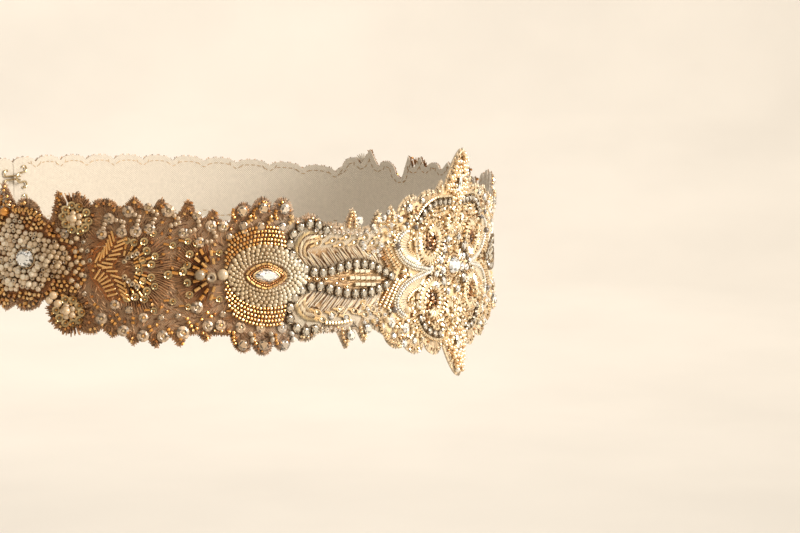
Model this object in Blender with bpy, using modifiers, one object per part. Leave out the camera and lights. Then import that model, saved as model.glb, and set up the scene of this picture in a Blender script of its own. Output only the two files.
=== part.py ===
"""Bridal sash: an embroidered net band that closes round a waist with two hooks and eyes.

Frame: metres, +Z up, origin at the middle of the waist.  The front faces -Y and the right half
of the band is on -X.  A point on the band is given by s, the distance round the waist from the
centre front (positive over the right half), by v, its height above the band's middle line,
and by lift, its distance out from the inner face.
"""
import bpy
import bmesh
import bisect
from math import sin, cos, pi, sqrt, tan, radians
from mathutils import Vector

MM = 0.001

# ---------------------------------------------------------------- driving dimensions
WAIST_HALF_WIDTH = 0.134       # inner face, side to side
WAIST_HALF_DEPTH = 0.100       # inner face, front to back
WAIST_DIP = tan(radians(5.75))  # the band is worn lower in front: rise per metre towards the back
FLARE = 0.0044                 # how far the net stands out ...
FLARE_HEIGHT = 0.044           # ... at this height above or below the middle line
WALL = 0.0013                  # net, backing and couched thread together
SEAM_GAP = 0.0003

CENTRE_SEAM = 46.0 * MM        # seam between the centre medallion and a side panel
FLOWER_SEAM = 171.0 * MM       # seam between a side panel and the flower applique
BACK_SEAM = 203.0 * MM         # seam between the flower applique and the back band
COLUMN_STEP = 4.2 * MM         # widest facet round the waist
BACK_COLUMN_STEP = 5.0 * MM
MERGE_STEP = 0.75 * MM         # columns nearer than this are made one

STONE_CLEARANCE = 0.0003

WIRE_RADIUS = 0.0004           # hook and eye wire
WIRE_LIFT = -0.0009            # sewn against the inner face
EYE_LIFT = -0.0021             # the eye's bar, inside the hook's bend
BEND_RADIUS = 0.0012
SEWING_LOOP_RADIUS = 0.0013
HOOK_HEIGHTS = {"upper": 6.0 * MM, "lower": -6.0 * MM}

# ---------------------------------------------------------------- tables, in millimetres
# Smooth edge of each panel, under its points and scallops: (s, top, bottom)
EDGE_SECTIONS = {
    "centre": ((0.0, 30.0, -28.5), (9.0, 30.0, -28.0), (20.0, 26.5, -27.0), (30.0, 25.0, -26.5),
               (40.0, 21.8, -24.0), (46.0, 20.2, -21.6)),
    "side": ((46.0, 20.2, -21.6), (52.0, 17.8, -18.8), (56.0, 16.9, -19.0), (66.0, 18.4, -19.6),
             (76.0, 19.2, -19.6), (86.0, 20.6, -20.8), (95.0, 22.5, -22.0), (103.0, 21.5, -22.0),
             (110.0, 18.4, -20.4), (121.0, 19.6, -20.2), (130.0, 20.6, -21.6),
             (140.0, 22.0, -22.6), (150.0, 21.0, -21.0), (158.0, 20.8, -20.4),
             (165.0, 19.4, -20.6), (171.0, 13.8, -18.6)),
    "flower": ((171.0, 13.4, -12.6), (175.0, 16.4, -14.4), (183.0, 17.6, -16.6),
               (192.0, 17.6, -16.2), (198.0, 16.2, -14.8), (203.0, 13.6, -13.0)),
    "back": ((203.0, 12.6, -12.2), (230.0, 12.4, -12.2), (300.0, 12.2, -12.2),
             (370.0, 12.0, -12.0)),
}

# Leaf points, scallops and the two tall points of the medallion: (edge, s, reach, half width, form)
EDGE_FEATURES = (
    ("top", 0.0, 44.5, 9.5, "tall_leaf"),
    ("top", 12.8, 33.0, 3.6, "leaf"),
    ("top", 21.8, 29.4, 5.4, "scallop"),
    ("top", 32.8, 27.8, 5.2, "scallop"),
    ("top", 42.6, 24.6, 2.8, "leaf"),
    ("top", 49.6, 23.2, 3.0, "leaf"),
    ("top", 61.8, 24.2, 3.4, "leaf"),
    ("top", 79.4, 22.0, 3.6, "scallop"),
    ("top", 90.6, 27.6, 4.0, "scallop"),
    ("top", 98.7, 27.5, 3.8, "scallop"),
    ("top", 106.0, 25.2, 3.4, "scallop"),
    ("top", 115.8, 22.6, 2.6, "leaf"),
    ("top", 124.2, 25.6, 3.2, "leaf"),
    ("top", 132.9, 25.4, 3.2, "leaf"),
    ("top", 142.0, 25.2, 3.4, "leaf"),
    ("top", 151.6, 23.4, 4.0, "scallop"),
    ("top", 160.6, 25.0, 3.0, "leaf"),
    ("top", 167.4, 24.4, 2.6, "leaf"),
    ("top", 178.2, 20.2, 4.2, "scallop"),
    ("top", 187.4, 24.6, 4.0, "leaf"),
    ("top", 196.4, 19.6, 4.0, "scallop"),
    ("bottom", 0.0, -41.5, 9.5, "tall_leaf"),
    ("bottom", 16.0, -31.6, 5.6, "scallop"),
    ("bottom", 29.0, -30.0, 6.2, "scallop"),
    ("bottom", 40.6, -27.0, 4.4, "scallop"),
    ("bottom", 56.2, -24.2, 2.8, "leaf"),
    ("bottom", 64.8, -25.8, 3.2, "leaf"),
    ("bottom", 81.4, -22.4, 3.6, "scallop"),
    ("bottom", 90.8, -25.4, 3.4, "scallop"),
    ("bottom", 98.4, -27.0, 3.8, "scallop"),
    ("bottom", 106.0, -26.0, 3.6, "scallop"),
    ("bottom", 118.6, -22.8, 2.6, "leaf"),
    ("bottom", 127.2, -24.8, 3.0, "leaf"),
    ("bottom", 135.2, -25.8, 3.2, "leaf"),
    ("bottom", 142.6, -25.4, 3.2, "leaf"),
    ("bottom", 149.6, -23.4, 3.0, "leaf"),
    ("bottom", 157.6, -22.8, 4.0, "scallop"),
    ("bottom", 166.2, -23.4, 4.2, "scallop"),
    ("bottom", 178.6, -17.8, 4.4, "scallop"),
    ("bottom", 187.8, -19.4, 4.0, "leaf"),
    ("bottom", 196.6, -17.6, 4.0, "scallop"),
)
# The back band repeats one shallow scallop: first centre, spacing, number, half width, rise
BACK_SCALLOPS = {"first": 211.0, "spacing": 15.1, "count": 11, "half_width": 7.0, "rise": 2.0}

# Where a knot of facets falls across each form, as fractions of its half width
FORM_KNOTS = {
    "leaf": (-1.0, -0.4, 0.0, 0.4, 1.0),
    "scallop": (-1.0, -0.72, 0.0, 0.72, 1.0),
    "tall_leaf": (-1.0, -0.8, -0.6, -0.4, -0.2, 0.0, 0.2, 0.4, 0.6, 0.8, 1.0),
}

# Sewn-on stones: (name, s, v, length, height, depth, outline)
STONES = (
    ("centre_stone", 0.0, 0.0, 8.6, 6.6, 3.0, "oval"),
    ("eye_stone_right", 96.8, 0.4, 9.4, 4.6, 2.6, "marquise"),
    ("eye_stone_left", -96.8, 0.4, 9.4, 4.6, 2.6, "marquise"),
    ("flower_stone_right", 179.6, -0.2, 7.0, 6.6, 3.0, "oval"),
    ("flower_stone_left", -179.6, -0.2, 7.0, 6.6, 3.0, "oval"),
)

# ---------------------------------------------------------------- materials
MATERIALS = {
    # name: (colour, roughness, metallic)
    "embroidered_net": ((0.74, 0.58, 0.42), 0.62, 0.25),
    "crystal": ((0.90, 0.88, 0.84), 0.05, 0.0),
    "hook_wire": ((0.62, 0.48, 0.28), 0.30, 1.0),
}


def material(name):
    found = bpy.data.materials.get(name)
    if found:
        return found
    colour, roughness, metallic = MATERIALS[name]
    made = bpy.data.materials.new(name)
    made.use_nodes = True
    shader = made.node_tree.nodes["Principled BSDF"]
    shader.inputs["Base Color"].default_value = (*colour, 1.0)
    shader.inputs["Roughness"].default_value = roughness
    shader.inputs["Metallic"].default_value = metallic
    made.diffuse_color = (*colour, 1.0)
    return made


# ---------------------------------------------------------------- the waist line
def build_arc_table(steps=7200):
    """Distance round the waist ellipse from the centre front, by angle."""
    angles, lengths = [0.0], [0.0]
    for i in range(1, steps + 1):
        a = 2 * pi * i / steps
        mid = 2 * pi * (i - 0.5) / steps
        speed = sqrt((WAIST_HALF_WIDTH * cos(mid)) ** 2 + (WAIST_HALF_DEPTH * sin(mid)) ** 2)
        angles.append(a)
        lengths.append(lengths[-1] + speed * 2 * pi / steps)
    return angles, lengths


ANGLES, LENGTHS = build_arc_table()
WAIST = LENGTHS[-1]
HALF_WAIST = WAIST / 2


def angle_at(s):
    s = s % WAIST
    i = min(max(bisect.bisect_right(LENGTHS, s), 1), len(LENGTHS) - 1)
    t = (s - LENGTHS[i - 1]) / (LENGTHS[i] - LENGTHS[i - 1])
    return ANGLES[i - 1] + t * (ANGLES[i] - ANGLES[i - 1])


def band_frame(s):
    """Middle-line point, outward normal and direction of growing s, all in the XY plane."""
    a = angle_at(s)
    point = Vector((-WAIST_HALF_WIDTH * sin(a), -WAIST_HALF_DEPTH * cos(a), 0.0))
    normal = Vector((point.x / WAIST_HALF_WIDTH ** 2, point.y / WAIST_HALF_DEPTH ** 2, 0.0)).normalized()
    along = Vector((-WAIST_HALF_WIDTH * cos(a), WAIST_HALF_DEPTH * sin(a), 0.0)).normalized()
    return point, normal, along


def band_point(s, v, lift=0.0):
    point, normal, _ = band_frame(s)
    p = point + normal * (FLARE * (v / FLARE_HEIGHT) ** 2 + lift)
    return Vector((p.x, p.y, v + WAIST_DIP * p.y))


# ---------------------------------------------------------------- the outline
def bump(form, u):
    u = abs(u)
    if u >= 1.0:
        return 0.0
    if form == "leaf":
        return 1.0 - u
    if form == "scallop":
        return sqrt(1.0 - u * u)
    return 1.0 - 0.15 * u - 0.85 * u * u          # tall_leaf


def base_height(panel, s_mm, column):
    rows = EDGE_SECTIONS[panel]
    s_mm = min(max(abs(s_mm), rows[0][0]), rows[-1][0])
    for low, high in zip(rows, rows[1:]):
        if s_mm <= high[0]:
            t = (s_mm - low[0]) / (high[0] - low[0])
            return low[column] + t * (high[column] - low[column])
    return rows[-1][column]


def features_of(panel):
    if panel == "back":
        b = BACK_SCALLOPS
        rows = []
        for k in range(b["count"]):
            centre = b["first"] + k * b["spacing"]
            for edge, column, sign in (("top", 1, 1), ("bottom", 2, -1)):
                rows.append((edge, centre, base_height("back", centre, column) + sign * b["rise"],
                             b["half_width"], "scallop"))
        return rows
    low, high = EDGE_SECTIONS[panel][0][0], EDGE_SECTIONS[panel][-1][0]
    return [f for f in EDGE_FEATURES if low - f[3] <= f[1] <= high + f[3]]


def edge_height(panel, s, edge):
    """Height of the top or bottom edge, in metres."""
    s_mm = abs(s) / MM
    column = 1 if edge == "top" else 2
    base = base_height(panel, s_mm, column)
    best = 0.0
    for side, centre, reach, half_width, form in features_of(panel):
        if side == edge:
            rise = reach - base_height(panel, centre, column)
            value = rise * bump(form, (s_mm - centre) / half_width)
            best = max(best, value) if edge == "top" else min(best, value)
    return (base + best) * MM


def columns(panel, start, end):
    """Facet lines from start to end: every step, and at each knot of a point or scallop."""
    low, high = min(abs(start), abs(end)), max(abs(start), abs(end))
    if start < 0 < end:
        low = 0.0
    wanted = set()
    for _, centre, _, half_width, form in features_of(panel):
        for u in FORM_KNOTS[form]:
            s = (centre + u * half_width) * MM
            if low + MERGE_STEP < s < high - MERGE_STEP:
                wanted.add(round(s, 6))
    kept = [low]
    for s in sorted(wanted):
        if s - kept[-1] >= MERGE_STEP:
            kept.append(s)
    kept.append(high)
    step = BACK_COLUMN_STEP if panel == "back" else COLUMN_STEP
    filled = [kept[0]]
    for a, b in zip(kept, kept[1:]):
        n = int((b - a) / step) + 1
        filled += [a + (b - a) * (k + 1) / n for k in range(n)]
    if start < 0 < end:
        return [-s for s in reversed(filled[1:])] + filled
    return filled if start >= 0 else [-s for s in reversed(filled)]


# ---------------------------------------------------------------- pieces
def collection(name):
    made = bpy.data.collections.new(name)
    bpy.context.scene.collection.children.link(made)
    return made


def link(obj, material_name, smooth_angle=35.0):
    SASH.objects.link(obj)
    obj.data.materials.append(material(material_name))
    if obj.type == "MESH":
        obj.data.shade_smooth()
        obj.data.set_sharp_from_angle(angle=radians(smooth_angle))
    return obj


def panel_sheet(name, panel, start, end, rows):
    """One net panel: an open sheet on the waist, thickened outwards."""
    bm = bmesh.new()
    grid = []
    for s in columns(panel, start, end):
        top, bottom = edge_height(panel, s, "top"), edge_height(panel, s, "bottom")
        base_top = base_height(panel, s / MM, 1) * MM
        base_bottom = base_height(panel, s / MM, 2) * MM
        heights = [bottom]
        for k in range(1, rows):
            t = 2.0 * k / rows - 1.0
            heights.append(0.62 * t * (base_top if t > 0 else -base_bottom) * rows / (rows - 2))
        heights.append(top)
        grid.append([bm.verts.new(band_point(s, v)) for v in heights])
    for left, right in zip(grid, grid[1:]):
        for k in range(rows):
            bm.faces.new((left[k], left[k + 1], right[k + 1], right[k]))
    bmesh.ops.recalc_face_normals(bm, faces=bm.faces)
    middle = bm.faces[len(bm.faces) // 2]
    if middle.normal.dot(Vector((middle.calc_center_median().x, middle.calc_center_median().y, 0))) < 0:
        bmesh.ops.reverse_faces(bm, faces=bm.faces)
    mesh = bpy.data.meshes.new(name)
    bm.to_mesh(mesh)
    bm.free()
    obj = bpy.data.objects.new(name, mesh)
    solid = obj.modifiers.new("wall", "SOLIDIFY")
    solid.thickness = WALL
    solid.offset = 1.0
    solid.use_rim = True
    return link(obj, "embroidered_net")


def outline_points(form, length, height, count=16):
    points = []
    for k in range(count):
        a = 2 * pi * k / count
        x, y = cos(a), sin(a)
        if form == "marquise":
            y *= 1.0 - 0.42 * x * x
        points.append((x * length / 2, y * height / 2))
    return points


def stone(name, s, v, length, height, depth, form):
    """A flat-backed cut stone: back, girdle, crown edge and table."""
    s, v, length, height, depth = (x * MM for x in (s, v, length, height, depth))
    point, normal, along = band_frame(s)
    up = normal.cross(along)
    if up.z < 0:
        up = -up
    centre = band_point(s, v, WALL + STONE_CLEARANCE)
    bm = bmesh.new()
    rings = []
    for scale, rise in ((0.86, 0.0), (1.0, 0.34), (0.80, 0.72), (0.52, 1.0)):
        rings.append([bm.verts.new(centre + along * (x * scale) + up * (y * scale) + normal * (rise * depth))
                      for x, y in outline_points(form, length, height)])
    n = len(rings[0])
    for low, high in zip(rings, rings[1:]):
        for k in range(n):
            bm.faces.new((low[k], low[(k + 1) % n], high[(k + 1) % n], high[k]))
    bm.faces.new(list(reversed(rings[0])))
    bm.faces.new(rings[-1])
    bmesh.ops.recalc_face_normals(bm, faces=bm.faces)
    mesh = bpy.data.meshes.new(name)
    bm.to_mesh(mesh)
    bm.free()
    return link(bpy.data.objects.new(name, mesh), "crystal", 12.0)


def arc(centre_t, centre_w, radius, start, end, count):
    return [(centre_t + radius * cos(start + (end - start) * k / count),
             centre_w + radius * sin(start + (end - start) * k / count)) for k in range(count + 1)]


def wire(name, path):
    """A round wire through (t, w, lift) points; t runs across the centre back into the left half."""
    curve = bpy.data.curves.new(name, "CURVE")
    curve.dimensions = "3D"
    curve.bevel_depth = WIRE_RADIUS
    curve.bevel_resolution = 2
    curve.use_fill_caps = True
    spline = curve.splines.new("POLY")
    spline.points.add(len(path) - 1)
    for point, (t, w, lift) in zip(spline.points, path):
        point.co = (*band_point(HALF_WAIST + t, w, lift), 1.0)
    return link(bpy.data.objects.new(name, curve), "hook_wire")


def hook(name, height):
    """Hairpin wire: sewing loop, shaft, bend round the eye, bill, and back to the other loop."""
    half = 0.72 * MM                       # half the spacing of the two wires
    bend_t = -0.50 * MM
    shaft_end = -6.4 * MM
    bill_end = -2.6 * MM
    loop_w = half + SEWING_LOOP_RADIUS
    side = [(t, loop_w + (w - 0.0), WIRE_LIFT) for t, w in
            arc(shaft_end, 0.0, SEWING_LOOP_RADIUS, radians(35), radians(270), 9)]
    side += [(t, half, WIRE_LIFT) for t in (-5.2 * MM, -3.6 * MM, -2.0 * MM)]
    for k in range(9):
        a = pi / 2 - pi * k / 8
        side.append((bend_t + BEND_RADIUS * cos(a), half, WIRE_LIFT - BEND_RADIUS + BEND_RADIUS * sin(a)))
    low = WIRE_LIFT - 2 * BEND_RADIUS
    side.append((bill_end + half, half, low))
    tip = [(bill_end + half - half * sin(pi * k / 6), half * cos(pi * k / 6), low) for k in range(1, 6)]
    path = side + tip + [(t, -w, lift) for t, w, lift in reversed(side)]
    return wire(name, [(t, height + w, lift) for t, w, lift in path])


def eye(name, height):
    """A wire bar on two legs, each ending in a sewing loop on the other end of the band."""
    half = 1.95 * MM
    bar_t = 1.35 * MM                      # centre of the bar's bend
    loop_t = 6.2 * MM
    bar = [(bar_t + half * cos(a), half * sin(a)) for a in
           [pi / 2 + pi * k / 12 for k in range(13)]]
    rise = [(4.6 * MM, WIRE_LIFT), (3.6 * MM, (WIRE_LIFT + EYE_LIFT) / 2), (2.6 * MM, EYE_LIFT)]
    loop_w = half + SEWING_LOOP_RADIUS
    leg = [(t, loop_w + w, WIRE_LIFT) for t, w in
           arc(loop_t, 0.0, SEWING_LOOP_RADIUS, radians(145), radians(-90), 9)]
    leg += [(t, half, lift) for t, lift in rise]
    path = leg + [(t, w, EYE_LIFT) for t, w in bar] + [(t, -w, lift) for t, w, lift in reversed(leg)]
    return wire(name, [(t, height + w, lift) for t, w, lift in path])


# ---------------------------------------------------------------- build
for old in list(bpy.data.objects):
    bpy.data.objects.remove(old, do_unlink=True)

SASH = collection("bridal_sash")

g = SEAM_GAP / 2
panel_sheet("centre_panel", "centre", -(CENTRE_SEAM - g), CENTRE_SEAM - g, 5)
for side, sign in (("right", 1), ("left", -1)):
    for name, panel, low, high in (
            ("side_panel", "side", CENTRE_SEAM + g, FLOWER_SEAM - g),
            ("flower_panel", "flower", FLOWER_SEAM + g, BACK_SEAM - g),
            ("back_panel", "back", BACK_SEAM + g, HALF_WAIST - g)):
        ends = (low, high) if sign > 0 else (-high, -low)
        panel_sheet(f"{name}_{side}", panel, ends[0], ends[1], 4 if panel == "side" else 3)

for row in STONES:
    stone(*row)

for level, height in HOOK_HEIGHTS.items():
    hook(f"hook_{level}", height)
    eye(f"eye_{level}", height)
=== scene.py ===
"""Looks of the bridal sash: net, thread, beads, pearls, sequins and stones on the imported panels.

Places on the band are given as (s, v) in millimetres: s runs round the waist from the centre
front, positive over the right half (-X), and v is the height over the band's middle line.
Each motif is laid out once, for the right half, and mirrored to the left half.
"""
import bpy
import numpy as np
from math import pi, sin, cos, tan, radians
from mathutils import Matrix, Vector


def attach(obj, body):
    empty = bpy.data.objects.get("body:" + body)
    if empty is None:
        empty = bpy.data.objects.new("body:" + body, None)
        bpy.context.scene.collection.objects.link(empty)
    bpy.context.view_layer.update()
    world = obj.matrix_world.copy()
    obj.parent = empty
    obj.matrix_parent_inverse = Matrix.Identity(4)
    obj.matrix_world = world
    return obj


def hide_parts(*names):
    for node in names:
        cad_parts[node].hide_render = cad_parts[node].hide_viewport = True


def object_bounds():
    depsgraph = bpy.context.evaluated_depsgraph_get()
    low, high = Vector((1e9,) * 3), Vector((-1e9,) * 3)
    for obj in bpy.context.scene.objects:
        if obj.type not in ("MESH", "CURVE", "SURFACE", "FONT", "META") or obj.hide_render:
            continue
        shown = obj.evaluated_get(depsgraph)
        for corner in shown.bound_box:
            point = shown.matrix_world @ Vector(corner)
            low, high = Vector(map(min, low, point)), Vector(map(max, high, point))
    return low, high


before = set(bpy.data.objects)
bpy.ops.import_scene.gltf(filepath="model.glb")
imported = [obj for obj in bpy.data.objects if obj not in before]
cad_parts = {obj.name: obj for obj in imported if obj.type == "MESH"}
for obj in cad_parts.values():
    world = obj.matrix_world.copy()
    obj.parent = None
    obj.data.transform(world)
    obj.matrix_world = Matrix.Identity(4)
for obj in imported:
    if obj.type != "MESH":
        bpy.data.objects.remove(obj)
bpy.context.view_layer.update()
RNG = np.random.default_rng(11)

# ================================================================ camera
CAM_AZ, CAM_EL, CAM_PAN, CAM_TILT = radians(-58.817), radians(4.9006), 0.0842, -0.0189
CAM_DISTANCE, CAM_LENS = 0.85, 96.0


def make_camera():
    back = Vector((sin(CAM_AZ) * cos(CAM_EL), -cos(CAM_AZ) * cos(CAM_EL), sin(CAM_EL)))
    forward = -back
    right = forward.cross(Vector((0, 0, 1))).normalized()
    up = right.cross(forward)
    pan = Matrix.Rotation(-CAM_PAN, 3, up)
    forward, right = pan @ forward, pan @ right
    tilt = Matrix.Rotation(CAM_TILT, 3, right)
    forward, up = tilt @ forward, tilt @ up
    data = bpy.data.cameras.new("camera")
    data.lens, data.sensor_width = CAM_LENS, 36.0
    data.clip_start, data.clip_end = 0.05, 60.0
    cam = bpy.data.objects.new("camera", data)
    m = Matrix((right, up, -forward)).transposed().to_4x4()
    m.translation = back * CAM_DISTANCE
    cam.matrix_world = m
    bpy.context.scene.collection.objects.link(cam)
    bpy.context.scene.camera = cam
    return forward, right, up, back


VIEW_FORWARD, VIEW_RIGHT, VIEW_UP, VIEW_BACK = make_camera()

# ================================================================ the band's surface
A, B = 134.0, 100.0
DIP = tan(radians(5.75))
FLARE, FLARE_HEIGHT = 4.4, 44.0
NET_INNER, NET_OUTER = 0.05, 0.9        # the net's two faces, out from the inner face of the wall
CENTRE_SEAM, FLOWER_SEAM, BACK_SEAM = 46.0, 171.0, 203.0

_T = np.linspace(0, 2 * pi, 14401)
_M = (_T[1:] + _T[:-1]) / 2
_ARC = np.concatenate([[0], np.cumsum(np.sqrt((A * np.cos(_M)) ** 2 + (B * np.sin(_M)) ** 2) * (_T[1] - _T[0]))])
WAIST = _ARC[-1]
HALF = WAIST / 2


def unit(a):
    return a / np.linalg.norm(a, axis=-1, keepdims=True)


def surface(s, v, lift=0.0):
    """Point, and the directions along the waist, up the band and outwards."""
    s, v, lift = np.broadcast_arrays(np.asarray(s, float), np.asarray(v, float), np.asarray(lift, float))
    a = np.interp(np.mod(s, WAIST), _ARC, _T)
    x, y = -A * np.sin(a), -B * np.cos(a)
    n = unit(np.stack([x / A ** 2, y / B ** 2], -1))
    t = unit(np.stack([-A * np.cos(a), B * np.sin(a)], -1))
    out = FLARE * (v / FLARE_HEIGHT) ** 2
    px, py = x + n[..., 0] * out, y + n[..., 1] * out
    k = 2 * FLARE * v / FLARE_HEIGHT ** 2
    along = unit(np.stack([t[..., 0], t[..., 1], DIP * t[..., 1]], -1))
    up = unit(np.stack([n[..., 0] * k, n[..., 1] * k, 1 + DIP * n[..., 1] * k], -1))
    outward = -unit(np.cross(along, up))
    up = np.cross(along, outward)
    p = np.stack([px, py, v + DIP * py], -1) + outward * lift[..., None]
    return p * 0.001, along, up, outward


# ================================================================ the outline, as in the part
EDGE_SECTIONS = {
    "centre": ((0.0, 30.0, -28.5), (9.0, 30.0, -28.0), (20.0, 26.5, -27.0), (30.0, 25.0, -26.5),
               (40.0, 21.8, -24.0), (46.0, 20.2, -21.6)),
    "side": ((46.0, 20.2, -21.6), (52.0, 17.8, -18.8), (56.0, 16.9, -19.0), (66.0, 18.4, -19.6),
             (76.0, 19.2, -19.6), (86.0, 20.6, -20.8), (95.0, 22.5, -22.0), (103.0, 21.5, -22.0),
             (110.0, 18.4, -20.4), (121.0, 19.6, -20.2), (130.0, 20.6, -21.6),
             (140.0, 22.0, -22.6), (150.0, 21.0, -21.0), (158.0, 20.8, -20.4),
             (165.0, 19.4, -20.6), (171.0, 13.8, -18.6)),
    "flower": ((171.0, 13.4, -12.6), (175.0, 16.4, -14.4), (183.0, 17.6, -16.6),
               (192.0, 17.6, -16.2), (198.0, 16.2, -14.8), (203.0, 13.6, -13.0)),
    "back": ((203.0, 12.6, -12.2), (230.0, 12.4, -12.2), (300.0, 12.2, -12.2),
             (370.0, 12.0, -12.0)),
}
EDGE_FEATURES = (
    ("top", 0.0, 44.5, 9.5, "tall_leaf"),
    ("top", 12.8, 33.0, 3.6, "leaf"),
    ("top", 21.8, 29.4, 5.4, "scallop"),
    ("top", 32.8, 27.8, 5.2, "scallop"),
    ("top", 42.6, 24.6, 2.8, "leaf"),
    ("top", 49.6, 23.2, 3.0, "leaf"),
    ("top", 61.8, 24.2, 3.4, "leaf"),
    ("top", 79.4, 22.0, 3.6, "scallop"),
    ("top", 90.6, 27.6, 4.0, "scallop"),
    ("top", 98.7, 27.5, 3.8, "scallop"),
    ("top", 106.0, 25.2, 3.4, "scallop"),
    ("top", 115.8, 22.6, 2.6, "leaf"),
    ("top", 124.2, 25.6, 3.2, "leaf"),
    ("top", 132.9, 25.4, 3.2, "leaf"),
    ("top", 142.0, 25.2, 3.4, "leaf"),
    ("top", 151.6, 23.4, 4.0, "scallop"),
    ("top", 160.6, 25.0, 3.0, "leaf"),
    ("top", 167.4, 24.4, 2.6, "leaf"),
    ("top", 178.2, 20.2, 4.2, "scallop"),
    ("top", 187.4, 24.6, 4.0, "leaf"),
    ("top", 196.4, 19.6, 4.0, "scallop"),
    ("bottom", 0.0, -41.5, 9.5, "tall_leaf"),
    ("bottom", 16.0, -31.6, 5.6, "scallop"),
    ("bottom", 29.0, -30.0, 6.2, "scallop"),
    ("bottom", 40.6, -27.0, 4.4, "scallop"),
    ("bottom", 56.2, -24.2, 2.8, "leaf"),
    ("bottom", 64.8, -25.8, 3.2, "leaf"),
    ("bottom", 81.4, -22.4, 3.6, "scallop"),
    ("bottom", 90.8, -25.4, 3.4, "scallop"),
    ("bottom", 98.4, -27.0, 3.8, "scallop"),
    ("bottom", 106.0, -26.0, 3.6, "scallop"),
    ("bottom", 118.6, -22.8, 2.6, "leaf"),
    ("bottom", 127.2, -24.8, 3.0, "leaf"),
    ("bottom", 135.2, -25.8, 3.2, "leaf"),
    ("bottom", 142.6, -25.4, 3.2, "leaf"),
    ("bottom", 149.6, -23.4, 3.0, "leaf"),
    ("bottom", 157.6, -22.8, 4.0, "scallop"),
    ("bottom", 166.2, -23.4, 4.2, "scallop"),
    ("bottom", 178.6, -17.8, 4.4, "scallop"),
    ("bottom", 187.8, -19.4, 4.0, "leaf"),
    ("bottom", 196.6, -17.6, 4.0, "scallop"),
)
BACK_SCALLOPS = {"first": 211.0, "spacing": 15.1, "count": 11, "half_width": 7.0, "rise": 2.0}
PANELS = {"centre": (0.0, CENTRE_SEAM), "side": (CENTRE_SEAM, FLOWER_SEAM),
          "flower": (FLOWER_SEAM, BACK_SEAM), "back": (BACK_SEAM, HALF)}


def bump(form, u):
    u = np.abs(u)
    inside = u < 1.0
    u = np.minimum(u, 1.0)
    if form == "leaf":
        y = 1.0 - u
    elif form == "scallop":
        y = np.sqrt(1.0 - u * u)
    else:
        y = 1.0 - 0.15 * u - 0.85 * u * u
    return np.where(inside, y, 0.0)


def base_edge(panel, s, column):
    rows = np.array(EDGE_SECTIONS[panel])
    return np.interp(np.abs(s), rows[:, 0], rows[:, column])


def edge(panel, s, side):
    s = np.abs(np.asarray(s, float))
    column = 1 if side == "top" else 2
    sign = 1.0 if side == "top" else -1.0
    if panel == "back":
        b = BACK_SCALLOPS
        rows = [(side, b["first"] + k * b["spacing"], None, b["half_width"], "scallop") for k in range(b["count"])]
    else:
        low, high = EDGE_SECTIONS[panel][0][0], EDGE_SECTIONS[panel][-1][0]
        rows = [f for f in EDGE_FEATURES if f[0] == side and low - f[3] <= f[1] <= high + f[3]]
    best = np.zeros_like(s)
    for _, centre, reach, half_width, form in rows:
        base = float(base_edge(panel, centre, column))
        rise = BACK_SCALLOPS["rise"] if reach is None else (reach - base) * sign
        best = np.maximum(best, rise * bump(form, (s - centre) / half_width))
    return base_edge(panel, s, column) + sign * best


_ES = np.arange(0.0, HALF + 0.05, 0.05)
_EDGE = {}
for _side in ("top", "bottom"):
    _y = np.zeros_like(_ES)
    for _panel, (_lo, _hi) in PANELS.items():
        _k = (_ES >= _lo) & (_ES <= _hi)
        _y[_k] = edge(_panel, _ES[_k], _side)
    _EDGE[_side] = _y


def inside(s, v, margin=0.0):
    top = np.interp(np.abs(s), _ES, _EDGE["top"])
    bottom = np.interp(np.abs(s), _ES, _EDGE["bottom"])
    return (v < top - margin) & (v > bottom + margin)


# ================================================================ small shapes, unit size, in local x y z
class Shape:
    def __init__(self, verts, faces, shade=None):
        self.verts = np.array(verts, float)
        volume = 0.0
        for f in faces:
            for i in range(1, len(f) - 1):
                a, b, c = self.verts[f[0]], self.verts[f[i]], self.verts[f[i + 1]]
                volume += np.dot(a, np.cross(b, c))
        # the band's frame is left-handed, so faces are kept clockwise here
        if volume > 0:
            faces = [list(reversed(f)) for f in faces]
        self.loops = np.array([i for f in faces for i in f], int)
        self.sizes = np.array([len(f) for f in faces], int)
        # shade is a tone per face: painted light and shade, multiplied into each copy's colour
        shade = np.ones(len(faces)) if shade is None else np.array(shade, float)
        self.shade = np.repeat(shade, self.sizes)
        self.tris = int((self.sizes - 2).sum())


def turned(profile, segments, axis="z", loop=False, shade=None, twist=0.0):
    """A profile of (radius, height) turned round an axis; loop closes the profile on itself."""
    # shade gives each ring of faces a painted tone of light and shade
    verts, faces, painted_light_tones = [], [], []
    m = len(profile)
    for j, (r, h) in enumerate(profile):
        for k in range(segments):
            a = 2 * pi * (k + twist * (j % 2)) / segments
            p = (r * cos(a), r * sin(a), h)
            verts.append(p if axis == "z" else (p[2], p[0], p[1]))
    for j in range(m if loop else m - 1):
        for k in range(segments):
            a, b = j * segments + k, j * segments + (k + 1) % segments
            c, d = ((j + 1) % m) * segments + (k + 1) % segments, ((j + 1) % m) * segments + k
            faces.append([a, b, c, d])
            painted_light_tones.append(1.0 if shade is None else shade[j])
    if not loop:
        faces.append(list(range(segments))[::-1])
        faces.append([(m - 1) * segments + k for k in range(segments)])
        painted_light_tones += [shade[-1] if shade else 1.0] * 2
    return Shape(verts, faces, painted_light_tones)


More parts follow.
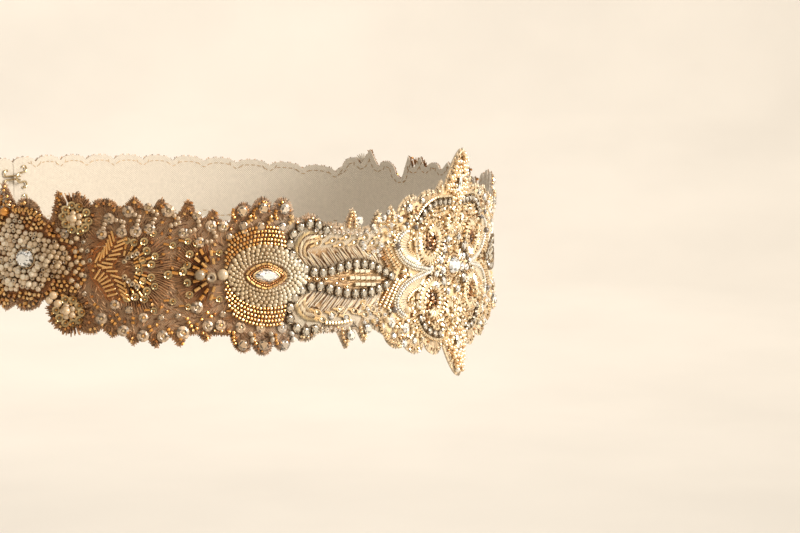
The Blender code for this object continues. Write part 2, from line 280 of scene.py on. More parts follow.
def cut_stone(segments=8, outline=lambda a: (cos(a), sin(a)), seed=1, table=0.27, mid=0.40):
    """A faceted stone: table, star and kite facets, girdle, flat back."""
    local = np.random.default_rng(seed)
    verts, faces, painted_light_tones = [], [], []
    rings = [(table, 0.5, 0.0), (mid, 0.40, 0.5), (0.5, 0.20, 0.0), (0.5, 0.13, 0.0), (0.44, 0.0, 0.0)]
    for r, h, turn in rings:
        for k in range(segments):
            x, y = outline(2 * pi * (k + turn) / segments)
            verts.append((r * x, r * y, h))
    n = segments
    # painted reflections: the table is painted light, each star and kite facet gets a random painted lightness from
    # dark to light, and the girdle and back are painted darker
    faces.append(list(range(n)))
    painted_light_tones.append(1.25)
    for j, (lo, hi) in enumerate(((0, 1), (1, 2))):
        for k in range(n):
            if j == 0:
                a, b, c, d = lo * n + k, lo * n + (k + 1) % n, hi * n + k, hi * n + (k - 1) % n
                faces += [[a, c, b], [a, d, c]]
            else:
                a, b, c, d = lo * n + k, lo * n + (k + 1) % n, hi * n + (k + 1) % n, hi * n + k
                faces += [[a, d, c], [a, c, b]]
            painted_light_tones += list(local.choice([0.16, 0.4, 0.75, 1.1, 1.5], 2))
    for lo, hi in ((2, 3), (3, 4)):
        for k in range(n):
            a, b, c, d = lo * n + k, lo * n + (k + 1) % n, hi * n + (k + 1) % n, hi * n + k
            faces.append([a, d, c, b])
            painted_light_tones.append(local.uniform(0.3, 0.8))
    faces.append([4 * n + k for k in range(n)][::-1])
    painted_light_tones.append(0.4)
    return Shape(verts, faces, painted_light_tones)


def marquise_outline(a):
    x, y = cos(a), sin(a)
    return x, y * (1.0 - 0.42 * x * x)


def stitched(stations=((-0.5, 0.05), (-0.24, 0.85), (0.24, 0.85), (0.5, 0.05)), twist=0.0):
    """One thread stitch: a low arch that dives into the net at both ends."""
    verts, faces = [], []
    for x, h in stations:
        w = 0.30 if h < 0.2 else 0.5
        verts += [(x, -w, -0.12), (x, 0.0, h), (x, w, -0.12)]
    for j in range(len(stations) - 1):
        for k in range(3):
            a, b = 3 * j + k, 3 * j + (k + 1) % 3
            faces.append([a, b, b + 3, a + 3])
    m = 3 * (len(stations) - 1)
    faces.append([2, 1, 0])
    faces.append([m, m + 1, m + 2])
    return Shape(verts, faces)


def box(x, y, z):
    verts = [(sx * x / 2, sy * y / 2, (sz + 1) * z / 2) for sx in (-1, 1) for sy in (-1, 1) for sz in (-1, 1)]
    faces = [[0, 1, 3, 2], [4, 6, 7, 5], [0, 4, 5, 1], [2, 3, 7, 6], [0, 2, 6, 4], [1, 5, 7, 3]]
    return Shape(verts, faces)


def joined(*parts):
    """Several closed bodies read as one shape."""
    out = Shape.__new__(Shape)
    offset, verts, loops, sizes, shade = 0, [], [], [], []
    for p in parts:
        verts.append(p.verts)
        loops.append(p.loops + offset)
        sizes.append(p.sizes)
        shade.append(p.shade)
        offset += len(p.verts)
    out.verts, out.loops = np.concatenate(verts), np.concatenate(loops)
    out.sizes, out.shade = np.concatenate(sizes), np.concatenate(shade)
    out.tris = int((out.sizes - 2).sum())
    return out


def moved(shape, x=0.0, y=0.0, z=0.0, turn=0.0, scale=(1, 1, 1)):
    out = Shape.__new__(Shape)
    p = shape.verts * np.array(scale)
    c, s_ = cos(turn), sin(turn)
    out.verts = np.stack([p[:, 0] * c - p[:, 1] * s_ + x, p[:, 0] * s_ + p[:, 1] * c + y, p[:, 2] + z], -1)
    out.loops, out.sizes, out.shade, out.tris = shape.loops, shape.sizes, shape.shade, shape.tris
    return out


def claws():
    cup = turned([(0.53, 0.0), (0.55, 0.26), (0.50, 0.36), (0.46, 0.34), (0.45, 0.0)], 10, loop=True)
    parts = [cup]
    for k in range(4):
        a = pi / 4 + k * pi / 2
        parts.append(moved(box(0.26, 0.17, 0.14), x=0.43 * cos(a), y=0.43 * sin(a), z=0.30, turn=a))
    return joined(*parts)


# painted light and shade: the shade lists darken and lighten rings of faces. The ends of seeds and bugles and the hole
# of the drilled ring bead are painted dark as painted shade, the loop is painted lighter on top than underneath, the
# sequin's cup is painted dark with a painted highlight on its rim, and the disc crystal's rings are painted lighter and
# darker as painted reflections
SHAPES = {
    "seed": turned([(0.22, -0.40), (0.44, -0.30), (0.50, 0.0), (0.44, 0.30), (0.22, 0.40)], 8, axis="x",
                   shade=[0.55, 1, 1, 0.55, 0.25]),
    "ring": turned([(0.13, 0.27), (0.33, 0.40), (0.50, 0.02), (0.30, -0.36), (0.13, -0.30)], 9, loop=True,
                   shade=[0.75, 1, 1, 0.7, 0.25]),
    "loop": turned([(0.35, 0.0), (0.39, 0.11), (0.47, 0.11), (0.50, 0.0), (0.47, -0.09), (0.39, -0.09)], 16, loop=True,
                   shade=[0.6, 1.1, 1.1, 0.9, 0.5, 0.4]),
    "ball": turned([(0.14, -0.47), (0.40, -0.30), (0.50, 0.0), (0.40, 0.30), (0.14, 0.47)], 9),
    "bugle": turned([(0.34, -0.5), (0.5, -0.46), (0.5, 0.46), (0.34, 0.5)], 7, axis="x",
                    shade=[0.6, 1, 0.6, 0.3]),
    "sequin": turned([(0.13, 0.05), (0.31, 0.07), (0.50, 0.21), (0.50, 0.15), (0.28, 0.0), (0.13, -0.01)], 11,
                     loop=True, shade=[0.42, 0.95, 1.3, 0.6, 0.5, 0.3]),
    "disc_crystal": turned([(0.12, 0.13), (0.27, 0.23), (0.50, 0.07), (0.46, -0.03), (0.13, -0.03)], 11, loop=True,
                           shade=[0.8, 1.1, 0.6, 0.4, 0.4], twist=0.5),
    "chaton_a": cut_stone(8, seed=3), "chaton_b": cut_stone(8, seed=8), "chaton_c": cut_stone(10, seed=21),
    "marquise": cut_stone(14, marquise_outline, seed=5, table=0.26, mid=0.39),
    "oval": cut_stone(12, seed=14),
    "baguette": cut_stone(4, lambda a: (1.32 * cos(a + pi / 4), 1.32 * sin(a + pi / 4)), seed=9, table=0.25, mid=0.42),
    "cup": claws(),
    "link": box(1.0, 1.0, 1.0),
    "stitch": stitched(),
    "stitch_low": stitched(((-0.5, 0.05), (0.0, 0.75), (0.5, 0.05))),
}
# painted reflections: the facets of the disc crystal are painted lighter and darker one by one
_local = np.random.default_rng(4)
for _name in ("disc_crystal",):
    _s = SHAPES[_name]
    _s.shade = _s.shade * np.repeat(_local.choice([0.35, 0.7, 1.0, 1.3], len(_s.sizes)), _s.sizes)

# ================================================================ colours (linear)
GOLD = (0.80, 0.44, 0.12)
GOLD_PALE = (0.90, 0.64, 0.32)
GOLD_CREAM = (0.92, 0.72, 0.44)
COPPER = (0.58, 0.27, 0.08)
BRONZE = (0.34, 0.15, 0.045)
AMBER = (0.85, 0.36, 0.04)
IVORY = (0.82, 0.73, 0.58)
WHITE = (0.90, 0.86, 0.78)
CHAMPAGNE = (0.72, 0.58, 0.42)
CLEAR = (0.70, 0.65, 0.58)
BRIGHT = (0.86, 0.83, 0.77)
SMOKE = (0.30, 0.27, 0.23)
THREAD_TAN = (0.63, 0.43, 0.285)
THREAD_BROWN = (0.205, 0.097, 0.040)
THREAD_ROSE = (0.62, 0.40, 0.28)
THREAD_PALE = (0.84, 0.67, 0.46)
THREAD_IVORY = (0.84, 0.77, 0.64)
LACE = (0.90, 0.84, 0.74)
THREAD_RUST = (0.42, 0.17, 0.05)

# painted shade: how much darker and warmer each kind of work is painted on the side panels than at the front
SIDE_PAINTED_SHADE = {"pearls": (0.57, 0.455, 0.325), "crystals": (0.66, 0.49, 0.33), "glass": (0.70, 0.525, 0.36),
             "gold_beads": (0.86, 0.69, 0.46), "sequins": (0.62, 0.555, 0.42), "thread": (0.82, 0.65, 0.45)}

# ================================================================ laying things on the band
KINDS = {}       # kind -> zone -> list of rows
OCC_S, OCC_V, OCC_R = [], [], []
ZONES = (("centre", 0.0, CENTRE_SEAM), ("side", CENTRE_SEAM, FLOWER_SEAM), ("rear", FLOWER_SEAM, 400.0))


def arr(x, n):
    return np.broadcast_to(np.asarray(x, float), (n,)).astype(float)


def put(kind, shape, s, v, lift=0.0, ang=0.0, size=1.0, tint=GOLD, tilt=(0.0, 0.0), claim=None, vary=0.12,
        mirror=True):
    """Lay one or many copies of a shape; x of the shape lies along ang, measured from growing s."""
    s = np.atleast_1d(np.asarray(s, float))
    v = np.atleast_1d(np.asarray(v, float))
    n = max(len(s), len(v))
    s, v = arr(s, n), arr(v, n)
    if n == 0:
        return
    size = size if isinstance(size, tuple) else (size, size, size)
    size = np.stack([arr(x, n) for x in size], -1)
    tint = np.asarray(tint, float)
    tint = np.broadcast_to(tint, (n, 3)) * (1 + RNG.uniform(-vary, vary, (n, 1)))
    # painted light: gold beads towards the front are painted paler and lighter, standing in for the light falling on
    # the front
    if kind == "gold_beads":
        painted_light_level = tint.max(axis=1, keepdims=True)
        w = (0.42 * np.clip((92 - np.abs(s)) / 40, 0, 1) + 0.06)[:, None] * (painted_light_level > 0.6)
        tint = tint * (1 - w) + painted_light_level * np.array((1.09, 0.94, 0.70)) * w
    # painted shade: beads, stones, sequins and thread on the side panels are painted darker and warmer than at the
    # front, standing in for the shade the sides lie in; past s 168 less of it is painted
    w = np.clip((np.abs(s) - (98 if kind == "thread" else 84)) / 12, 0, 1) * (1 - 0.62 * np.clip((np.abs(s) - 168) / 10, 0, 1))
    tint = tint * (1 + w[:, None] * (np.array(SIDE_PAINTED_SHADE.get(kind, (1.0, 1.0, 1.0))) - 1))
    row = dict(s=s, v=v, lift=arr(lift, n), ang=arr(ang, n), size=size, tint=tint,
               ta=arr(tilt[0], n), tb=arr(tilt[1], n))
    shape = SHAPES[shape]
    KINDS.setdefault(kind, []).append((shape, row))
    if mirror:
        other = dict(row)
        other["s"], other["ang"], other["ta"] = -row["s"], pi - row["ang"], row["ta"]
        other["tb"] = -row["tb"]
        KINDS[kind].append((shape, other))
    if claim is not None:
        OCC_S.extend(s); OCC_V.extend(v); OCC_R.extend(arr(claim, n))


def free(s, v, r, share=0.85):
    """True where a round thing of radius r keeps clear of everything laid so far."""
    if not OCC_S:
        return np.ones(len(s), bool)
    os_, ov, or_ = np.array(OCC_S), np.array(OCC_V), np.array(OCC_R)
    ok = np.ones(len(s), bool)
    r = arr(r, len(s))
    for i in range(0, len(s), 400):
        d2 = (s[i:i + 400, None] - os_) ** 2 + (v[i:i + 400, None] - ov) ** 2
        ok[i:i + 400] = (d2 > ((or_ + r[i:i + 400, None]) * share) ** 2).all(1)
    return ok


def curve(points, step=0.1, closed=False):
    """A smooth line through the points, as closely spaced (s, v)."""
    p = np.array(points, float)
    p = np.vstack([p[-1], p, p[0], p[1]]) if closed else np.vstack([2 * p[0] - p[1], p, 2 * p[-1] - p[-2]])
    out = []
    for i in range(1, len(p) - 2):
        n = max(2, int(np.linalg.norm(p[i + 1] - p[i]) / step))
        t = np.linspace(0, 1, n, endpoint=False)[:, None]
        out.append(0.5 * (2 * p[i] + (p[i + 1] - p[i - 1]) * t + (2 * p[i - 1] - 5 * p[i] + 4 * p[i + 1] - p[i + 2]) * t ** 2
                          + (3 * p[i] - p[i - 1] - 3 * p[i + 1] + p[i + 2]) * t ** 3))
    out.append(p[-2][None, :])
    return np.vstack(out)


def spaced(line, pitch, start=0.0, end=0.0, even=True):
    """Places and headings every pitch along a line."""
    d = np.r_[0, np.cumsum(np.linalg.norm(np.diff(line, axis=0), axis=1))]
    total = d[-1] - start - end
    if total <= 0:
        return np.zeros(0), np.zeros(0), np.zeros(0)
    n = max(1, int(round(total / pitch)))
    at = start + (np.arange(n) + 0.5) * total / n
    s, v = np.interp(at, d, line[:, 0]), np.interp(at, d, line[:, 1])
    e = 0.15
    a = np.arctan2(np.interp(at + e, d, line[:, 1]) - np.interp(at - e, d, line[:, 1]),
                   np.interp(at + e, d, line[:, 0]) - np.interp(at - e, d, line[:, 0]))
    return s, v, a


def beside(line, distance):
    """The line moved sideways, to its left."""
    t = np.gradient(line, axis=0)
    t /= np.linalg.norm(t, axis=1, keepdims=True) + 1e-12
    return line + np.stack([-t[:, 1], t[:, 0]], -1) * distance


def seeds(line, size=1.5, tint=GOLD, pitch=None, lift=0.0, kind="gold_beads", vary=0.16, start=0.0, end=0.0,
          mirror=True, every=None):
    s, v, a = spaced(line, pitch or size * 0.86, start, end)
    n = len(s)
    if n == 0:
        return
    z = size * RNG.uniform(0.93, 1.05, n)
    tint = np.broadcast_to(np.asarray(tint, float), (n, 3)).copy()
    if every:
        tint[::every[0]] = every[1]
    put(kind, "seed", s, v, lift + z / 2, a + RNG.uniform(-0.12, 0.12, n), (z, z, z), tint, vary=vary,
        claim=size * 0.5, mirror=mirror)


def bugles(line, length=3.4, width=0.8, tint=GOLD, gap=0.2, lift=0.0, kind="gold_beads", start=0.0, end=0.0,
           mirror=True):
    s, v, a = spaced(line, length + gap, start, end)
    n = len(s)
    put(kind, "bugle", s, v, lift + width / 2, a, (length * RNG.uniform(0.94, 1.03, n), width, width), tint,
        claim=width * 0.9, mirror=mirror)


def pearls(s, v, size=1.9, tint=IVORY, lift=0.0, holes=True, kind="pearls", mirror=True, claim=True):
    s, v = np.atleast_1d(s).astype(float), np.atleast_1d(v).astype(float)
    n = len(s)
    z = size * RNG.uniform(0.94, 1.06, n)
    put(kind, "ring" if holes else "ball", s, v, lift + z * 0.42, RNG.uniform(0, 6.28, n), (z, z, z), tint,
        tilt=(RNG.uniform(-0.35, 0.35, n), RNG.uniform(-0.35, 0.35, n)), claim=(z * 0.5 if claim else None),
        vary=0.10, mirror=mirror)


def thread(s, v, ang, length, width=0.42, tint=THREAD_TAN, lift=0.0, low=False, vary=0.28, height=None, mirror=True,
           kind="thread"):
    s = np.atleast_1d(np.asarray(s, float))
    n = len(s)
    put(kind, "stitch_low" if low else "stitch", s, v, lift + 0.02, ang, (length, width, height or width * 0.9),
        tint, vary=vary, mirror=mirror)


def rhinestone(s, v, size=3.0, ang=None, lift=0.0, tint=CLEAR, cup=True, mirror=True):
    s, v = np.atleast_1d(s).astype(float), np.atleast_1d(v).astype(float)
    n = len(s)
    size = arr(size, n)
    ang = RNG.uniform(0, 6.28, n) if ang is None else arr(ang, n)
    for k, shape in enumerate(("chaton_a", "chaton_b", "chaton_c")):
        pick = np.arange(n) % 3 == k
        if pick.any():
            z = size[pick]
            put("crystals", shape, s[pick], v[pick], lift + (0.22 if cup else 0.10) * z, ang[pick] + k,
                (z * 0.94, z * 0.94, z * (0.46 if cup else 0.62)), tint, claim=z * 0.5, vary=0.12,
                tilt=(RNG.uniform(-0.1, 0.1, pick.sum()), RNG.uniform(-0.1, 0.1, pick.sum())), mirror=mirror)
    if cup:
        put("settings", "cup", s, v, lift, ang, (size, size, size), (1, 1, 1), vary=0.2, mirror=mirror)


def sequins(s, v, size=2.7, tint=GOLD_CREAM, lift=0.1, mirror=True, lean=None):
    s, v = np.atleast_1d(s).astype(float), np.atleast_1d(v).astype(float)
    n = len(s)
    tilt = (RNG.uniform(-0.25, 0.25, n), RNG.uniform(-0.25, 0.25, n)) if lean is None else lean
    put("sequins", "sequin", s, v, lift + 0.1, RNG.uniform(0, 6.28, n), (size, size, size), tint, tilt=tilt,
        claim=size * 0.48, vary=0.12, mirror=mirror)
    z = size * 0.3
    put("gold_beads", "ball", s, v, lift + 0.3, 0.0, (z, z, z), GOLD, vary=0.2, mirror=mirror)


def hexgrid(low_s, high_s, low_v, high_v, pitch, jitter=0.12):
    rows = []
    k = 0
    v = low_v
    while v <= high_v:
        s = np.arange(low_s + (pitch / 2 if k % 2 else 0), high_s, pitch)
        rows.append(np.stack([s, np.full_like(s, v)], -1))
        v += pitch * 0.866
        k += 1
    p = np.vstack(rows)
    return p + RNG.uniform(-jitter, jitter, p.shape) * pitch


def radial(centre, r0, r1, a0, a1, count, width=0.42, tint=THREAD_TAN, spread=0.12, lift=0.0, low=False, mirror=True):
    a = np.linspace(a0, a1, count) + RNG.uniform(-spread, spread, count) * (a1 - a0) / max(count, 1) * 2
    grow = RNG.uniform(0.86, 1.1, count)
    mid, length = (r0 + r1) / 2 * (0.5 + 0.5 * grow), (r1 - r0) * grow
    thread(centre[0] + mid * np.cos(a), centre[1] + mid * np.sin(a), a, length, width, tint, lift, low, mirror=mirror)


def mixed(choices, weights, n):
    idx = RNG.choice(len(choices), n, p=np.array(weights) / sum(weights))
    return np.array(choices)[idx]


def within(points, poly):
    """Which points lie inside a closed polygon."""
    poly = np.asarray(poly, float)
    x, y = points[:, 0], points[:, 1]
    hit = np.zeros(len(points), bool)
    x1, y1 = poly[-1]
    for x0, y0 in poly:
        cross = (y0 > y) != (y1 > y)
        with np.errstate(divide="ignore", invalid="ignore"):
            hit ^= cross & (x < (x1 - x0) * (y - y0) / (y1 - y0) + x0)
        x1, y1 = x0, y0
    return hit


def filled(poly, pitch, jitter=0.12, clear=None, margin=0.5):
    """Scattered places inside a polygon, kept off what is laid already and inside the band."""
    poly = np.asarray(poly, float)
    p = hexgrid(poly[:, 0].min(), poly[:, 0].max(), poly[:, 1].min(), poly[:, 1].max(), pitch, jitter)
    p = p[within(p, poly)]
    if len(p):
        p = p[inside(p[:, 0], p[:, 1], margin)]
    if clear is not None and len(p):
        p = p[free(p[:, 0], p[:, 1], clear)]
    return p


def ellipse(cs, cv, a, b, turn=0.0, n=60, start=0.0, end=2 * pi):
    t = np.linspace(start, end, n)
    x, y = a * np.cos(t), b * np.sin(t)
    return np.stack([cs + x * cos(turn) - y * sin(turn), cv + x * sin(turn) + y * cos(turn)], -1)


def satin(poly, ang, width=0.5, length=2.6, tint=THREAD_RUST, lift=-0.04, height=0.3, vary=0.25, pitch=None):
    """Flat close stitches in one direction over a patch; ang may be a function of (s, v)."""
    p = np.asarray(poly, float)
    step = pitch or width * 0.95
    q = hexgrid(p[:, 0].min(), p[:, 0].max(), p[:, 1].min(), p[:, 1].max(), step * 1.55, 0.25)
    q = q[within(q, p)]
    if not len(q):
        return
    q = q[inside(q[:, 0], q[:, 1], 0.3)]
    a = ang(q[:, 0], q[:, 1]) if callable(ang) else arr(ang, len(q))
    thread(q[:, 0], q[:, 1], a + RNG.uniform(-0.12, 0.12, len(q)), length * RNG.uniform(0.8, 1.15, len(q)), width, tint,
           lift, True, vary, height)


def rows_of(kind, lines, **k):
    for line in lines:
        kind(line, **k)


def comma(s, v, ts, tv, size=4.0, tint=CLEAR, beads=2, lift=0.0, mirror=True):
    """A holed crystal disc with a short tail of clear beads."""
    z = size * RNG.uniform(0.95, 1.05)
    put("glass", "disc_crystal", s, v, lift + 0.35, RNG.uniform(0, 6), (z, z, z * 0.9), tint, claim=z * 0.5,
        tilt=(RNG.uniform(-0.12, 0.12), RNG.uniform(-0.12, 0.12)), mirror=mirror)
    put("gold_beads", "ball", s, v, lift + 0.95, 0, (1.05, 1.05, 0.8), mixed([CLEAR, IVORY, GOLD_PALE], [3, 2, 1], 1)[0],
        mirror=mirror)
    d = np.hypot(ts - s, tv - v)
    if d > size * 0.5 and beads:
        e = np.array([ts - s, tv - v]) / d
        first = size * 0.5 + 0.45
        at = first + np.arange(beads) * 1.5
        z = 1.8 * RNG.uniform(0.92, 1.08, beads)
        put("pearls", "ball", s + e[0] * at, v + e[1] * at, lift + 0.8 - 0.12 * np.arange(beads), np.arctan2(e[1], e[0]),
            (z * 0.92, z, z * 0.9), (0.86, 0.75, 0.63), claim=0.8, vary=0.08, mirror=mirror)


def leaf_stitches(base, tip, half_width, tint=THREAD_TAN, count=9, width=0.46, lean=0.62, lift=0.0, spine=True,
                  mirror=True, vary=0.28):
    """Two rows of slanting stitches meeting on a leaf's rib."""
    base, tip = np.array(base, float), np.array(tip, float)
    axis = tip - base
    length = np.linalg.norm(axis)
    axis /= length
    side = np.array([-axis[1], axis[0]])
    a0 = np.arctan2(axis[1], axis[0])
    t = (np.arange(count) + 0.2) / count * 0.94

    def half(u):
        u = np.clip(u, 0, 1)
        return half_width * np.minimum(1.0, (u + 0.25) * 2.0) * (1 - u ** 2.2) + 0.12

    for sign in (1, -1):
        a = a0 + sign * lean
        reach = half(t) * 0.5
        for _ in range(16):
            reach = (reach + half(t + reach / tan(lean) / length)) / 2
        reach = reach / sin(lean)
        mid = base + axis * (t * length)[:, None] + np.stack([np.cos(a) * reach / 2, np.sin(a) * reach / 2], -1)
        thread(mid[:, 0], mid[:, 1], a, reach * 1.05, width, tint, lift, mirror=mirror, vary=vary)
    if spine:
        m = max(2, int(length / 1.5))
        q = base + axis * ((np.arange(m) + 0.5) / m * length)[:, None]
        thread(q[:, 0], q[:, 1], a0, length / m * 1.2, width * 0.9, tint, lift + 0.25, mirror=mirror, vary=vary)


# ================================================================ the outline: close stitching all round
def tone_at(s):
    """The thread's colour along the band: pale at the front, tan at the sides and back."""
    a = np.clip((np.abs(s) - 42) / 50, 0, 1)[:, None]
    return np.array(THREAD_PALE) * (1 - a) + np.array(THREAD_TAN) * a


for side, sign in (("top", 1.0), ("bottom", -1.0)):
    line = np.stack([_ES, _EDGE[side]], -1)
    for inset, pitch, reach, turn, width, up in ((0.35, 0.66, 1.75, 0.0, 0.52, 0.0), (1.2, 0.78, 2.0, 0.95, 0.56, 0.16),
                                                 (2.1, 1.0, 1.9, -0.6, 0.50, 0.10)):
        s, v, a = spaced(line, pitch)
        n = len(s)
        out = a + sign * pi / 2
        s2, v2 = s - np.cos(out) * inset, v - np.sin(out) * inset
        ok = inside(s2, v2, -0.6) & (s2 > -0.2)
        if pitch < 0.9:
            thin = (s < BACK_SEAM) | (np.arange(n) % 5 < 3)
        else:
            thin = s < BACK_SEAM
        dark = RNG.random(n) < 0.24
        tint = tone_at(s) * np.where(dark, 0.36, 1.0)[:, None]
        ok = ok & thin
        ang = out + sign * turn * (1 if inset > 2 else 1) + RNG.uniform(-0.38, 0.38, n)
        thread(s2[ok], v2[ok], ang[ok], reach * RNG.uniform(0.8, 1.15, n)[ok], width, tint[ok], up, True)
    # a few small gold beads caught along the edge
    s, v, a = spaced(line, 2.3)
    out = a + sign * pi / 2
    keep = (RNG.random(len(s)) < 0.62) & (s < BACK_SEAM)
    s2, v2 = s - np.cos(out) * 1.35, v - np.sin(out) * 1.35
    z = RNG.uniform(1.0, 1.3, len(s))
    put("gold_beads", "seed", s2[keep], v2[keep], 0.6, (a + RNG.uniform(-0.4, 0.4, len(s)))[keep],
        (z[keep], z[keep], z[keep]), mixed([GOLD, GOLD_PALE, COPPER], [3, 2, 2], len(s))[keep], claim=0.5)

# pointed lobes hold slanting stitches; round lobes hold a crystal or a small leaf
LOBE_CRYSTALS = {("top", 90.6), ("top", 98.7), ("top", 106.0), ("bottom", 90.8), ("bottom", 98.4), ("bottom", 106.0),
                 ("top", 124.2), ("top", 132.9), ("top", 142.0), ("bottom", 127.2), ("bottom", 135.2),
                 ("bottom", 142.6), ("top", 61.8), ("bottom", 64.8)}
for side, centre, reach, half_width, form in EDGE_FEATURES:
    sign = 1.0 if side == "top" else -1.0
    if form == "tall_leaf":
        continue
    column = 1 if side == "top" else 2
    panel = [k for k, (lo, hi) in PANELS.items() if lo <= centre < hi][0]
    base = float(base_edge(panel, centre, column))
    tint = tuple(tone_at(np.array([centre]))[0] * (0.95 if form == "leaf" else 0.85))
    depth = 1.6 if (side, centre) in LOBE_CRYSTALS else 4.2
    leaf_stitches((centre, base - sign * depth), (centre, reach - sign * 0.3), half_width * 0.8, tint,
                  count=int(max(6, abs(reach - base) + depth)), lean=0.6)

# ================================================================ the pearl flower, with its stone and copper ground
FLOWER = np.array([179.6, -0.2])
PETALS = [ellipse(184.0, 7.3, 5.0, 6.8, 0.15), ellipse(185.6, -6.2, 4.6, 7.0, -0.1), ellipse(170.6, 1.0, 7.8, 6.3, 0.0),
          ellipse(177.0, -6.6, 5.6, 4.6, 0.1), ellipse(176.2, 6.4, 4.6, 3.6, 0.2), ellipse(186.6, 0.6, 4.0, 5.0, 0.0)]
pts = hexgrid(160, 193, -15, 15, 1.95, 0.16)
hit = np.zeros(len(pts), bool)
for petal in PETALS:
    hit |= within(pts, petal)
hit &= np.hypot(pts[:, 0] - FLOWER[0], pts[:, 1] - FLOWER[1]) > 5.0
pts = pts[hit]
near = np.min([np.hypot(pts[:, 0] - q[0], pts[:, 1] - q[1]) for q in ((184, 7), (185.5, -6), (171, 1), (177, -6.5))], axis=0)
dome = 0.9 * np.clip(1 - near / 6.5, 0, 1)
size = RNG.uniform(1.75, 2.2, len(pts))
drilled = RNG.random(len(pts)) < 0.34
for group, holes in ((drilled, True), (~drilled, False)):
    pearls(pts[group, 0], pts[group, 1], size[group] * (1.0 if holes else 1.06),
           mixed([(0.89, 0.73, 0.52), (0.97, 0.82, 0.62), (0.75, 0.57, 0.37)], [5, 3, 2], group.sum()), lift=dome[group],
           holes=holes)
# a second, looser layer on the crowns of the petals
top = (near < 4.2) & (RNG.random(len(pts)) < 0.30)
pearls(pts[top, 0] + RNG.uniform(-0.8, 0.8, top.sum()), pts[top, 1] + RNG.uniform(-0.8, 0.8, top.sum()),
       RNG.uniform(1.9, 2.3, top.sum()), (1.0, 0.90, 0.72), lift=dome[top] + 1.1, claim=False, holes=False)
# ring about the stone
t = np.arange(13) * 2 * pi / 13
pearls(FLOWER[0] + 4.7 * np.cos(t), FLOWER[1] + 4.6 * np.sin(t), 1.9, (1.0, 0.90, 0.72), lift=0.25, holes=False)
t = np.arange(22) * 2 * pi / 22
seeds(ellipse(FLOWER[0], FLOWER[1], 3.75, 3.6, n=90), 0.95, BRONZE, lift=0.1)
# amber bead and a pale satin patch by the tip of the upper petal
put("gold_beads", "ball", 186.9, 14.9, 1.5, 0, 3.3, AMBER, vary=0.02, claim=1.7)
satin(ellipse(190.2, 18.2, 4.4, 3.2, 0.5), lambda s, v: 0.9 + 0.12 * (s - 190), 0.5, 2.6, THREAD_IVORY, height=0.6)
thread(*(ellipse(190.2, 18.0, 3.2, 2.4, 0.5, n=26)[:-1].T), np.linspace(0, 2 * pi, 26)[:-1] + 0.5, 3.6, 0.6, WHITE, 0.3)
# copper ground round the petals
ring_poly = [(159.5, -8.5), (166, -11), (173, -16), (182, -18.5), (192, -18), (200.5, -14), (202.4, -6), (202.4, 7),
             (200, 14), (192.5, 18), (186, 21), (180, 19.5), (175, 17.5), (171.6, 13.0), (164.6, 8.6), (159.8, 4.4), (158.2, -2)]
satin(ring_poly, lambda s, v: np.arctan2(v - FLOWER[1], s - FLOWER[0]) + 0.4, 0.55, 2.4, THREAD_RUST, height=0.22, pitch=0.8)
pts = filled(ring_poly, 1.78, 0.2, clear=0.74, margin=0.9)
size = RNG.uniform(1.3, 1.7, len(pts))
put("gold_beads", "seed", pts[:, 0], pts[:, 1], size * 0.45, RNG.uniform(0, 3.1, len(pts)), (size, size, size),
    mixed([COPPER, GOLD, GOLD_PALE, (1.0, 0.66, 0.30)], [3, 5, 3, 2], len(pts)), claim=0.7)
# arcs of gold beads that frame the petals
seeds(curve([(172.6, 12.8), (175.8, 15.6), (180, 16.4), (184, 15.8)]), 1.35, GOLD, lift=0.5)
# the loose pearls at the small-s end of the flower
for k, (r, n) in enumerate(((9.4, 5), (11.6, 5))):
    a = pi + np.linspace(-0.62, 0.62, n)
    pearls(170.4 + r * np.cos(a) * 0.98, 1.0 + r * np.sin(a) * 1.2, 1.9, (1.0, 0.88, 0.70), lift=0.1, holes=False)
bg = filled([(160, -5), (164, -8), (164, 8), (160, 6), (157.6, 1)], 2.4, 0.2, clear=1.0)
put("gold_beads", "seed", bg[:, 0], bg[:, 1], 0.7, RNG.uniform(0, 3, len(bg)), 1.5, COPPER, claim=0.8)


# ================================================================ rosettes of cupped sequins
def rosette(cs, cv, count=10, r=4.3, start=0.0, span=2 * pi, tint=GOLD_CREAM):
    a = start + np.arange(count) * span / count + RNG.uniform(-0.08, 0.08, count)
    rr = r * RNG.uniform(0.93, 1.07, count)
    sequins(cs + rr * np.cos(a), cv + rr * np.sin(a), RNG.uniform(2.7, 3.1, count), tint, lift=0.35)
    put("gold_beads", "seed", cs + (rr - 1.75) * np.cos(a), cv + (rr - 1.75) * np.sin(a), 0.9, a, (1.2, 1.2, 1.2), GOLD_PALE)
    pearls(cs + 1.8 * np.cos(a[::2]), cv + 1.8 * np.sin(a[::2]), 2.3,
           mixed([(1.06, 0.94, 0.76), (0.96, 0.82, 0.62), (0.80, 0.70, 0.56)], [3, 2, 2], len(a[::2])), lift=0.7, holes=False)
    pearls(cs + 0.3, cv + 0.2, 3.0, (1.12, 1.0, 0.82), lift=1.15, holes=False)
    radial((cs, cv), r + 1.0, r + 4.2, 0, 2 * pi * 0.985, 50, 0.58, THREAD_TAN, 0.3)
    radial((cs, cv), r + 0.6, r + 3.6, 0.05, 2 * pi, 42, 0.50, THREAD_BROWN, 0.3, lift=-0.05)


rosette(161.4, 15.8)
rosette(164.0, -16.2, 10, 4.2)
comma(165.6, 9.9, 168.5, 11.8, 3.7, beads=1)
pearls([170.4, 167.4, 169.0], [-13.2, -14.0, -11.4], 2.9, (1.08, 0.94, 0.74), lift=0.5, holes=False)
pearls([157.6, 156.8, 158.6, 158.8], [5.2, 2.0, -3.4, 8.2], 1.7, CLEAR, lift=0.1)
rhinestone([160.6, 158.8], [-7.2, -9.6], 2.1, cup=False)

